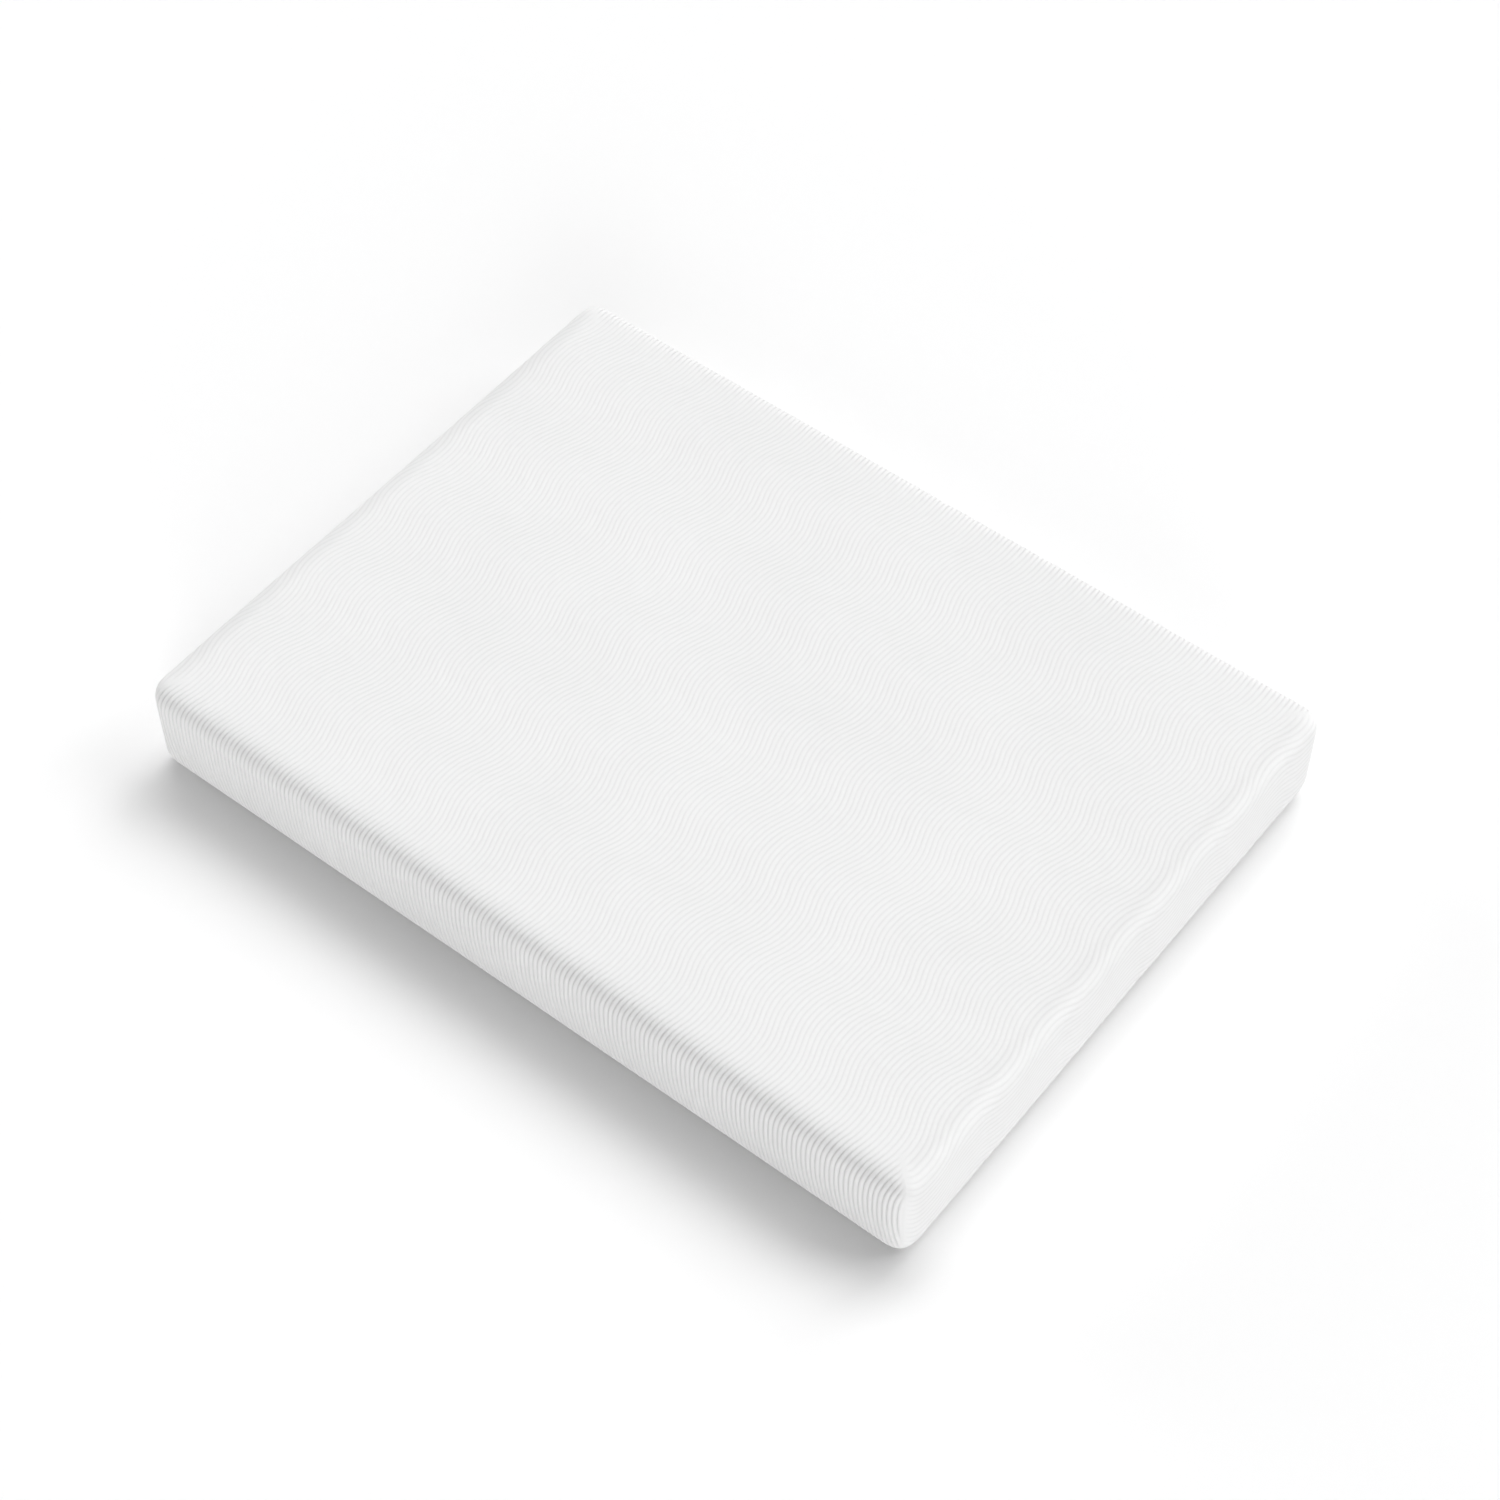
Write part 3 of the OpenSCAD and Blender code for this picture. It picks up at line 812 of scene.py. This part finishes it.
# %% Binding tape
HALF_BAND = (length_at_height(BAND_LOW) - length_at_height(BAND_HIGH)) / 2
STITCH_ROW = 0.62  # share of the way from the middle of the tape to its edge
BOW = 0.11  # twice the radius to which the tape bends over the edge
band_line, band_out = belt(SEAM_A, ZIP_END)
band_way = along_of(band_line)
band_up = unit(np.cross(band_way, band_out))
across = np.linspace(-1, 1, 11)
crown = 0.0008 - 0.00028 * across**4 - 0.00022 * np.exp(-(((np.abs(across) - STITCH_ROW) / 0.13) ** 2))
bow = (across * HALF_BAND) ** 2 / BOW
top_side = np.stack([crown - bow, across * HALF_BAND], -1)
under_side = np.stack([-0.0006 - bow[::-5], across[::-5] * HALF_BAND * 0.98], -1)
section = np.concatenate([top_side, under_side])
band_points, band_faces, band_uv = sweep(band_line, band_out, band_up, section)
band_mesh = make_mesh("binding_tape", band_points, band_faces, uv=band_uv)
put("binding_tape", band_mesh, grosgrain, "mattress", ["edge_binding"])
rows = []
for row in (-STITCH_ROW, STITCH_ROW):
    low = (row * HALF_BAND) ** 2 / BOW
    line = band_line + band_up * row * HALF_BAND - band_out * low
    rows.append(stitch_line(line, band_out, *STITCH, 0.00048))
sew("binding_stitches", *gather(rows))

# %% [markdown]
# ## Corner seams
# At each upright corner the two skirts are sewn together. The ribs fade towards the seam and it is
# hardly a line, so the piece is a slim cord of thread that lies low in the mitre, and each stitch
# dimples it.

# %% Corner seams
SEAM_START = ROUND_A * 1.25
SEAM_CORD, SEAM_STITCH = 0.0006, 0.003
SEAM_SINK = 0.0001
CORNERS = (("front_right", 1, -1), ("back_right", 1, 1), ("back_left", -1, 1), ("front_left", -1, -1))
for name, end, side in CORNERS:
    a = np.linspace(SEAM_START, HEM_A - 0.001, 150)
    x, out, h, n_x, n_out, n_up = on_side(end * (FLAT_X + to_mitre(a)), FLAT_X, a)
    line = np.stack([x, side * (FLAT_Y + out), h], -1)
    way = unit(np.stack([n_x, side * n_out, n_up], -1))
    side_way = unit(np.cross(along_of(line), way))
    run = a - a[0]
    thick = SEAM_CORD / 2 * (1 - 0.3 * np.cos(2 * np.pi * run / SEAM_STITCH) ** 8) * ease(run / 0.01)
    section = thick[:, None, None] * circle(8)
    points, faces, uv = sweep(line - way * SEAM_SINK, way, side_way, section)
    mesh = make_mesh("corner_seam_" + name, points, faces, uv=uv)
    put("corner_thread_" + name, mesh, thread, "mattress", ["corner_seam_" + name])

# %% [markdown]
# ## Base cloth
# The underside is a plainer, tougher cloth, because it rubs on the slats: a brushed tricot with
# small grip dots of silicone rubber printed on it. It rises at its edge to meet the seam. The flat
# middle and the rising edge are one surface, lifted a third of a millimetre so that the dots are
# what touches the floor.

# %% Base cloth and its finish
tricot = woven("brushed_grey_polyester_tricot", "c0c0bf", "d6d6d5", 0.0022, 0.0018, 0.0002,
               Roughness=0.95, Sheen_Weight=0.25)
DOT_RISE = 0.0003
rings = np.array([loop(a)[0] for a in np.linspace(RIM_A, EDGE_A[-1], 14)])
on_zip = (np.abs(rings[0][:, 0]) < ZIP_END) & (rings[0][:, 1] > FLAT_Y)
zip_p, _ = loop(RIM_A + (RIM_A - SEAM_A) * 0.42)
rings[0] = np.where(on_zip[:, None], zip_p, rings[0])
rings[1, :, 2] = np.where(on_zip, np.minimum(rings[1, :, 2], zip_p[:, 2] - 0.002), rings[1, :, 2])
rings[..., 2] = np.maximum(rings[..., 2], DOT_RISE)
rows, cols = rings.shape[:2]
skirt = ring_faces(rows, cols)[1]
gx = np.linspace(-FLAT_X, FLAT_X, int(round(2 * FLAT_X / STATION_GAP)) + 1)
gy = np.linspace(-FLAT_Y, FLAT_Y, int(round(2 * FLAT_Y / STATION_GAP)) + 1)
mx, my = np.meshgrid(gx, gy)
middle = np.stack([mx, my, np.full(mx.shape, DOT_RISE)], -1)
faces = grid_faces(*mx.shape, rows * cols, True)
points = np.concatenate([rings.reshape(-1, 3), middle.reshape(-1, 3)])
base_mesh = make_mesh("base_cloth", points, [skirt, faces], uv=points[:, :2])
print("edges at the rim of the base:", merge(base_mesh, 1e-5))
base = put("base_cloth", base_mesh, tricot, "mattress", ["bottom_panel"])
thicken(base, "cloth_thickness", 0.0015)

# %% [markdown]
# **Grip dots.** Clear silicone, printed through a screen in staggered rows, 5 mm across. Each is a
# low dome of eight sides.

# %% Grip dots
silicone = mottled("screen_printed_silicone_rubber", "aeb0b2", "c6c8ca", 900.0, Roughness=0.38,
                   IOR=1.41, Specular_IOR_Level=0.5)
DOT_PITCH, DOT_ROW = 0.035, 0.035 * 0.866
rows_n = int(2 * (FLAT_Y - 0.02) / DOT_ROW)
cols_n = int(2 * (FLAT_X - 0.03) / DOT_PITCH)
ky, kx = np.meshgrid(np.arange(rows_n), np.arange(cols_n), indexing="ij")
cx = (kx - (cols_n - 1) / 2 + 0.5 * (ky % 2) - 0.25) * DOT_PITCH
cy = (ky - (rows_n - 1) / 2) * DOT_ROW
dome = np.array([(0.0026, DOT_RISE + 0.0002), (0.0024, 0.00012), (0.0015, 0.00001)])
rise = np.broadcast_to(dome[:, 1:, None], (3, 8, 1))
ring = np.concatenate([dome[:, :1, None] * circle(8), rise], -1)
points = ring[None] + np.stack([cx.ravel(), cy.ravel(), cx.ravel() * 0], -1)[:, None, None]
n = len(points)
i = np.arange(n * 24).reshape(n, 3, 8)
j = np.roll(i, -1, axis=2)
quads = np.stack([i[:, :-1], i[:, 1:], j[:, 1:], j[:, :-1]], -1).reshape(-1, 4)
dots_mesh = make_mesh("grip_dots", points.reshape(-1, 3), [quads, i[:, 2, ::-1], i[:, 0]])
put("grip_dots", dots_mesh, silicone, "mattress")
print("dots", n)

# %% [markdown]
# ## The zip
# The zip lets the cover come off for washing. It lies in the seam of one long side: two woven tapes,
# a coil of nylon sewn to the edge of each, two end stops, and a slider with a pull tab that travels
# from one end to the other. Its frame comes from the tab's hinge: the hinge's axis points up along
# the seam, and the zip's outward direction is square to that.

# %% Frame of the zip
hinge = next(j for j in frame["joints"] if j["name"] == "tab_swing")
zip_up = unit(np.array(hinge["axis"], float))
zip_out = np.cross(zip_up, (1, 0, 0))
HINGE_RISE = 0.0013
zip_middle = np.array(hinge["pos_m"], float) - zip_out * HINGE_RISE
zip_middle[0] = 0.0
tape_half = float(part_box("zip_tape_upper")[1].x)
coil_half = float(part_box("zip_coil_upper")[1].x)
print("zip faces", np.round(zip_out, 3), "tape", round(2 * tape_half, 3))


def on_zip_plane(x, rise, lift):
    """Points of the zip: x along it, rise outwards and lift up across it."""
    x, rise, lift = np.broadcast_arrays(x, rise, lift)
    level = zip_middle + x[..., None] * np.array([1.0, 0, 0])
    return level + rise[..., None] * zip_out + lift[..., None] * zip_up


# %% [markdown]
# ** Zip tape.** Polyester woven in a herringbone, with a thicker cord along the edge that carries the
# coil. The weave is drawn as a plain grid of cross ribs 2.4 mm apart.

# %% Zip tapes
tape_cloth = woven("white_woven_polyester_zip_tape", "cfcfd0", "ececed", 0.0012, 0.0012, 0.00018,
                   Roughness=0.75, Sheen_Weight=0.1)
lifts = np.array([1.0, 1.3, 2.0, 2.7, 3.4, 5.5, 8.0, 10.5, 11.6, 12.0]) / 1000
fronts = np.array([-3.9, -3.62, -3.58, -3.66, -3.78, -3.8, -3.78, -3.8, -3.74, -3.9]) / 1000
backs = np.array([-4.16, -4.2, -4.1, -4.06, -4.04, -4.06, -4.04, -4.12]) / 1000
section = np.concatenate([np.stack([fronts, lifts], -1), np.stack([backs, lifts[-2:0:-1]], -1)])
x = np.linspace(-tape_half, tape_half, 360)
for name, sign in (("upper", 1), ("lower", -1)):
    line = on_zip_plane(x, 0.0, 0.0)
    shape = section * (1, sign)
    shape = shape[::-1] if sign < 0 else shape
    out, up = np.broadcast_to(zip_out, line.shape), np.broadcast_to(zip_up, line.shape)
    points, faces, uv = sweep(line, out, up, shape)
    mesh = make_mesh("zip_tape_" + name, points, faces, uv=uv)
    put("woven_tape_" + name, mesh, tape_cloth, "mattress", ["zip_tape_" + name])

# %% [markdown]
# **Coils.** One long nylon thread, wound into a flattened spiral and set by heat. Its turns on one
# side slip between the turns of the other. Real turns are about 1.2 mm apart; here they are 1.5 mm,
# which keeps each coil under a hundred thousand triangles.

# %% Zip coils
nylon = mottled("heat_set_nylon_monofilament", "dcdcda", "eeeeec", 60.0, strength=0.3, depth=0.0001,
                Roughness=0.32, IOR=1.53, Coat_Weight=0.15, Coat_Roughness=0.3)
COIL_PITCH, COIL_RADIUS, WIRE = 0.0015, 0.0012, 0.00032
COIL_LIFT, COIL_RISE = 0.0018, -0.0024
for name, sign in (("upper", 1), ("lower", -1)):
    turns = int(2 * (coil_half - WIRE) / COIL_PITCH)
    t = np.linspace(0, 2 * np.pi * turns, turns * 8 + 1)
    x = -coil_half + WIRE + COIL_PITCH * t / (2 * np.pi) + (0 if sign > 0 else COIL_PITCH / 2)
    x = np.minimum(x, coil_half - WIRE)
    swing = COIL_RADIUS - WIRE
    line = on_zip_plane(x, COIL_RISE + swing * np.sin(t), sign * COIL_LIFT + swing * np.cos(t) * 1.12)
    radial = unit(zip_out * np.sin(t)[:, None] + zip_up * np.cos(t)[:, None])
    go = along_of(line)
    radial = unit(radial - go * np.sum(radial * go, -1, keepdims=True))
    points, faces, uv = sweep(line, radial, np.cross(go, radial), WIRE * circle(5))
    mesh = make_mesh("zip_coil_" + name, points, faces, uv=uv)
    put("nylon_coil_" + name, mesh, nylon, "mattress", ["zip_coil_" + name])

# %% [markdown]
# **Zip metal.** The slider, the tab and the stops are zinc, cast and barrel polished, and plated with
# nickel. Tumbling leaves soft, cloudy scratches, so the roughness varies. Their shapes are the
# packed ones, and they only get this finish.

# %% Zip metal
nickel, tree, shader = finish("tumbled_nickel_plated_zinc", Metallic=1.0)
spots = add(tree, "ShaderNodeTexCoord")
cloud = add(tree, "ShaderNodeTexNoise", {0: spots.outputs["Object"], "Scale": 700.0, "Detail": 4.0})
dull = add(tree, "ShaderNodeMapRange", {"Value": cloud.outputs["Fac"], "To Min": 0.24, "To Max": 0.42})
tint = add(tree, "ShaderNodeMix", {"Factor": cloud.outputs["Fac"], "A": dye("bdbcb8"),
                                   "B": dye("d3d2cd")}, data_type="RGBA")
scratch = add(tree, "ShaderNodeBump", {"Height": cloud.outputs["Fac"], "Strength": 0.2, "Distance": 0.00005})
tree.links.new(dull.outputs[0], shader.inputs["Roughness"])
tree.links.new(tint.outputs["Result"], shader.inputs["Base Color"])
tree.links.new(scratch.outputs[0], shader.inputs["Normal"])


def dress(node, material):
    """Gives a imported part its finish, and leaves its shape alone."""
    piece = frame["nodes"][node]
    piece.data.materials.clear()
    piece.data.materials.append(material)


for node in ("zip_slider", "zip_pull_tab", "zip_stop_closed_end", "zip_stop_open_end"):
    dress(node, nickel)

# %% [markdown]
# Where the zip opens the cover, the hem is folded under and held by a row of stitches, above and
# below the opening.

# %% Hem stitches beside the zip
HEM_STITCH = 0.0085
x = np.linspace(-ZIP_END + 0.004, ZIP_END - 0.004, 300)
rows = []
for a in (SEAM_A - HEM_STITCH, SEAM_A + HEM_STITCH):
    y, h = np.interp(a, EDGE_A, EDGE_R) + FLAT_Y, np.interp(a, EDGE_A, EDGE_H)
    dr, dh = np.interp(a, EDGE_A, EDGE_DR), np.interp(a, EDGE_A, EDGE_DH)
    way = np.broadcast_to(unit(np.array([0.0, -dh, dr])), (len(x), 3))
    line = np.stack([x, np.full(len(x), y), np.full(len(x), h)], -1)
    rows.append(stitch_line(line, way, *STITCH, -0.0001))
sew("zip_hem_stitches", *gather(rows))

# %% [markdown]
# ## Labels
# Two small labels are sewn to the left end by their top edge, and hang free below it. One is woven
# satin, soft and slightly shiny; the other a plain woven tape. Neither carries any words. A real
# label curls away from the cloth at its free end, by a few millimetres.

# %% Labels
satin = woven("white_woven_satin_label", "dcdcdc", "f4f4f4", 0.0004, 0.0030, 0.00006,
              Roughness=0.35, Sheen_Weight=0.3)
label_tape = woven("plain_woven_label", "c4c8cc", "e8eaec", 0.0010, 0.0008, 0.0001, Roughness=0.7)
LABEL_GAP = 0.0007
LABEL_ROWS, LABEL_COLS = 26, 20
for node, slot_name, finish_used, curl in (
    ("care_label", "label_satin", satin, 0.0034),
    ("safety_label", "label_woven", label_tape, 0.0022),
):
    low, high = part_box(node)
    v = np.linspace(0, 1, LABEL_ROWS)[:, None]
    u = np.linspace(0, 1, LABEL_COLS)[None, :]
    y = low.y + (high.y - low.y) * u + 0 * v
    z = high.z - (high.z - low.z) * v + 0 * u
    away = curl * v**2.2 * (1 + 0.35 * np.sin(2.3 * u * np.pi + 0.6)) + 0.0002 * np.sin(9 * u + 5 * v)
    x = -HALF_L - LABEL_GAP - away
    points = np.stack([x, y, z], -1).reshape(-1, 3)
    uv = np.stack([y - low.y, z - low.z], -1).reshape(-1, 2)
    mesh = make_mesh(node, points, [grid_faces(LABEL_ROWS, LABEL_COLS, 0)], uv=uv)
    label = put("sewn_" + node, mesh, finish_used, "mattress", [node])
    thicken(label, "ribbon_thickness", 0.0003, 0.0)
    along = np.linspace(low.y + 0.002, high.y - 0.002, 12)
    line = np.stack([0 * along - HALF_L - LABEL_GAP - 0.0003, along, 0 * along + high.z - 0.003], -1)
    way = np.broadcast_to(np.array([-1.0, 0, 0]), line.shape)
    sew(node + "_stitches", *stitch_line(line, way, 0.0032, 0.0024, 0.0005))

# %% [markdown]
# ## Inside the cover
# Under the jersey lie a thin wadding, then a liner that keeps the foam clean, then three slabs of
# foam glued together: a thick firm base, a softer middle, and memory foam on top. They are closed
# forms that follow the same rounded outline, set in by their depth below the cover. Nobody sees them
# until the cover is off, but each has its own shape and finish.

# %% Forms that follow the outline
def outline(reach, height):
    """A closed line round the mattress at any reach and height, clockwise from above: straight
    sides, and corners of the same superellipse as the cover's."""
    lines = []
    for edge in range(4):
        flat, other = (FLAT_X, FLAT_Y) if edge in (0, 2) else (FLAT_Y, FLAT_X)
        base, corner = side_stations(flat)
        w = np.abs(corner) * MITRE
        along = base + np.sign(corner) * reach * np.interp(w, PLAN_W, PLAN_X)
        far = (other + reach * np.interp(w, PLAN_W, PLAN_Y)) * (1 if edge in (0, 1) else -1)
        line = np.stack([along, far] if edge in (0, 2) else [far, along], -1)
        lines.append((line if edge in (0, 3) else line[::-1])[:-1])
    line = np.concatenate(lines)
    return np.concatenate([line, np.full((len(line), 1), height)], 1)


def inner_profile(inset):
    """Reach and height of the edge curve moved inwards by inset, from the flat top down to where the
    side starts to curve in below."""
    a = np.concatenate([np.linspace(0, ROUND_A, 15), np.linspace(ROUND_A, length_at_height(0.05), 9)[1:]])
    dr, dh = np.interp(a, EDGE_A, EDGE_DR), np.interp(a, EDGE_A, EDGE_DH)
    size = np.hypot(dr, dh)
    reach = np.interp(a, EDGE_A, EDGE_R) + dh / size * inset
    height = np.interp(a, EDGE_A, EDGE_H) - dr / size * inset
    reach[0], height[0] = 0.0, HEIGHT - inset
    return np.stack([reach, height], -1)


def lofted(profile, top_face, low_face):
    """Outlines at each reach and height of a profile, in one surface, closed by a flat face at its
    top and bottom where asked."""
    rings = np.array([outline(r, h) for r, h in profile])
    rows, cols = rings.shape[:2]
    i, quads = ring_faces(rows, cols)
    faces = [quads]
    faces += [i[0][::-1][None]] if top_face else []
    faces += [i[-1][None]] if low_face else []
    return rings.reshape(-1, 3), faces


def foam(name, color_low, color_high, cell, depth, rough):
    """An open-cell foam: a mesh of pores from two sizes of cells, with a painted shade that darkens each pore
    a little.
    """
    material, tree, shader = finish(name, Roughness=rough, Specular_IOR_Level=0.2, Sheen_Weight=0.1)
    spot = add(tree, "ShaderNodeTexCoord")
    big = add(tree, "ShaderNodeTexVoronoi", {0: spot.outputs["Object"], "Scale": 1 / cell})
    small = add(tree, "ShaderNodeTexVoronoi", {0: spot.outputs["Object"], "Scale": 2.7 / cell})
    pores = add(tree, "ShaderNodeMath", {0: big.outputs["Distance"], 1: small.outputs["Distance"]},
                operation="MULTIPLY")
    bump = add(tree, "ShaderNodeBump", {"Height": pores.outputs[0], "Strength": 0.8,
                                        "Distance": depth}, invert=True)
    # Painted shade: the colour darkens where the surface sinks into the pores.
    mix = add(tree, "ShaderNodeMix", {"Factor": pores.outputs[0], "A": dye(color_high),
                                      "B": dye(color_low)}, data_type="RGBA")
    tree.links.new(mix.outputs["Result"], shader.inputs["Base Color"])
    tree.links.new(bump.outputs[0], shader.inputs["Normal"])
    return material


# %% [markdown]
# The wadding is a loose fleece of needled fibre that lies over the top and down the sides. The liner
# is a stocking of unbleached cotton that closes all round the foam.

# %% Wadding and liner
wadding_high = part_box("cover_wadding")[1]
liner_low, liner_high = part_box("inner_liner")
fleece = mottled("needled_polyester_wadding", "dedcd6", "f6f5f1", 160.0, 6.0, 1.0, 0.0012, 2.5,
                 Roughness=1.0, Sheen_Weight=0.5, Specular_IOR_Level=0.1)
WADDING_IN = HEIGHT - float(wadding_high.z) + 0.0004
points, faces = lofted(inner_profile(WADDING_IN), True, False)
wadding_mesh = make_mesh("wadding", points, faces, uv=points[:, :2])
merge(wadding_mesh, 1e-5)
wadding = put("fibre_wadding", wadding_mesh, fleece, "mattress", ["cover_wadding"])
thicken(wadding, "wadding_thickness", 0.0075)

stocking = woven("unbleached_stockinette", "c9c8c1", "e2e1da", 0.0020, 0.0016, 0.0002,
                 Roughness=0.9, Sheen_Weight=0.2)
LINER_IN = HEIGHT - float(liner_high.z)
TOE_RISE, TOE_IN = 0.002, 0.004


def toe(low):
    """The lowest outline of a form that stands on the base cloth at the height low."""
    return np.array([[np.interp(-low - TOE_RISE, -EDGE_H, EDGE_R) - TOE_IN, low]])


points, faces = lofted(np.concatenate([inner_profile(LINER_IN), toe(float(liner_low.z))]), True, True)
liner_mesh = make_mesh("liner", points, faces, uv=points[:, :2] + points[:, 2:] * (0.3, 0.9))
merge(liner_mesh, 1e-5)
liner = put("stockinette_liner", liner_mesh, stocking, "mattress", ["inner_liner"])
thicken(liner, "liner_thickness", 0.0014)

# %% [markdown]
# Each slab is cut out of the same rounded outline between its two heights. The memory foam has the
# finest cells and the base the coarsest. Films of sprayed glue hold them together.

# %% Foam slabs and glue
foams = (
    ("memory_foam_layer", "memory_foam", "viscoelastic_memory_foam", "cfc294", "ece3c2", 0.0016),
    ("transition_foam_layer", "transition_foam", "soft_polyether_foam", "8fb0c8", "b9d2e2", 0.0022),
    ("base_foam_core", "base_foam", "high_resilience_base_foam", "c9c9c3", "e6e6e1", 0.0030),
)
FOAM_IN = HEIGHT - float(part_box("memory_foam_layer")[1].z)
for node, slot_name, finish_name, deep, light, cell in foams:
    low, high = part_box(node)
    material = foam(finish_name, deep, light, cell, 0.0006, 0.95)
    shape = inner_profile(FOAM_IN)
    top, low_z = float(high.z), float(low.z)
    cuts = [(np.interp(-z, -shape[:, 1], shape[:, 0]), z) for z in (top, low_z)]
    between = shape[(shape[:, 1] < top - 0.001) & (shape[:, 1] > low_z + 0.001)]
    if node == "memory_foam_layer":
        cuts[0] = (0.0, top)
    if node == "base_foam_core":
        cuts[1] = tuple(toe(low_z)[0])
    points, faces = lofted(np.array([cuts[0], *between, cuts[1]]), True, True)
    mesh = make_mesh(node, points, faces)
    merge(mesh, 1e-5)
    slab = put("slab_" + node, mesh, material, "mattress", [node])

glue = mottled("sprayed_water_based_foam_glue", "d8cfa4", "efe9cf", 90.0, 4.0, 0.7, 0.0004,
               Roughness=0.45)
for node in ("memory_glue_film", "transition_glue_film"):
    dress(node, glue)

# %% [markdown]
# ## Floor, light and camera
# A product like this is shown on a seamless white floor. Broad soft lights stand high behind the far
# long side, so the near long side is in gentle shade and a soft shadow lies in front of it. Weaker
# low lights in front lift that shade. Each is far away and half a radian wide, so that the floor is
# lit evenly out to the horizon and every shadow has a wide, soft edge.

# %% Floor
floor_mesh = bpy.data.meshes.new("floor")
floor_mesh.from_pydata([(-60, -60, 0), (60, -60, 0), (60, 60, 0), (-60, 60, 0)], [], [(0, 1, 2, 3)])
floor = bpy.data.objects.new("floor", floor_mesh)
bpy.context.scene.collection.objects.link(floor)
paper, tree, shader = finish("matt_white_backdrop_paper", Roughness=1.0, Specular_IOR_Level=0.0)
shader.inputs["Base Color"].default_value = dye("f9f9f9")
floor_mesh.materials.append(paper)

# %% [markdown]
# The sky of the studio is bright near the horizon, like white walls, and dim overhead, where the
# ceiling is dark between the lights.

# %% Walls and ceiling of the studio
HORIZON_GLOW, CEILING_GLOW = 1.0, 0.1
world = bpy.data.worlds.new("studio")
bpy.context.scene.world = world
world.use_nodes = True
sky = world.node_tree
way = add(sky, "ShaderNodeTexCoord")
height = add(sky, "ShaderNodeSeparateXYZ", {0: way.outputs["Generated"]})
glow = add(sky, "ShaderNodeMapRange", {"Value": height.outputs[2], "From Min": 0.12, "From Max": 0.35,
                                      "To Min": HORIZON_GLOW, "To Max": CEILING_GLOW},
           interpolation_type="SMOOTHSTEP")
sky.links.new(glow.outputs[0], sky.nodes["Background"].inputs["Strength"])
sky.nodes["Background"].inputs["Color"].default_value = (1, 1, 1, 1)

# %% Soft lights
SOFTNESS = 0.49
LAMP_FAR = 6
LIGHTS = (
    ("back_right_low", 45, 45, 0.75),
    ("back_low", 90, 45, 0.716),
    ("back_high", 90, 62, 0.65),
    ("back_left_high", 135, 62, 0.82),
    ("front_right_fill", 315, 14, 0.76),
    ("front_right_lift", 315, 30, 0.45),
    ("left_fill", 180, 14, 0.521),
)
for name, azimuth, elevation, strength in LIGHTS:
    lamp = bpy.data.lights.new(name, "SUN")
    lamp.angle, lamp.energy = SOFTNESS, strength
    item = bpy.data.objects.new(name, lamp)
    bpy.context.scene.collection.objects.link(item)
    a, e = math.radians(azimuth), math.radians(elevation)
    back = np.array([math.cos(a) * math.cos(e), math.sin(a) * math.cos(e), math.sin(e)])
    right = np.cross((0, 0, 1), back)
    right /= np.linalg.norm(right)
    axes = np.stack([right, np.cross(back, right), back], 1).tolist()
    item.matrix_world = Matrix([[*r, LAMP_FAR * p] for r, p in zip(axes, back.tolist())] + [[0, 0, 0, 1]])
bpy.context.scene.view_settings.view_transform = "Standard"

# %% [markdown]
# The camera looks down at the mattress over its near right corner, from far enough away that its
# long sides stay nearly parallel. The place is given by direction, height, roll and distance.

# %% Camera
CAMERA_AZ, CAMERA_EL, CAMERA_ROLL = 38.4231, 52.5464, -0.3459
CAMERA_X, CAMERA_Y, CAMERA_FAR = 0.0327, -0.0281, 6.5709
az, el, roll = (math.radians(d) for d in (CAMERA_AZ, CAMERA_EL, CAMERA_ROLL))
back = np.array([math.sin(az) * math.cos(el), -math.cos(az) * math.cos(el), math.sin(el)])
right = np.cross(-back, (0, 0, 1))
right /= np.linalg.norm(right)
up = np.cross(right, -back)
turned_right = math.cos(roll) * right + math.sin(roll) * up
turned_up = -math.sin(roll) * right + math.cos(roll) * up
place = back * CAMERA_FAR + turned_right * CAMERA_X + turned_up * CAMERA_Y + np.array([0, 0, HEIGHT / 2])
lens = bpy.data.cameras.new("camera")
lens.sensor_width = 36.0
lens.lens = 77.999
camera = bpy.data.objects.new("camera", lens)
bpy.context.scene.collection.objects.link(camera)
axes = np.stack([turned_right, turned_up, back], 1)
camera.matrix_world = Matrix([[*r, p] for r, p in zip(axes.tolist(), place.tolist())] + [[0, 0, 0, 1]])
bpy.context.scene.camera = camera
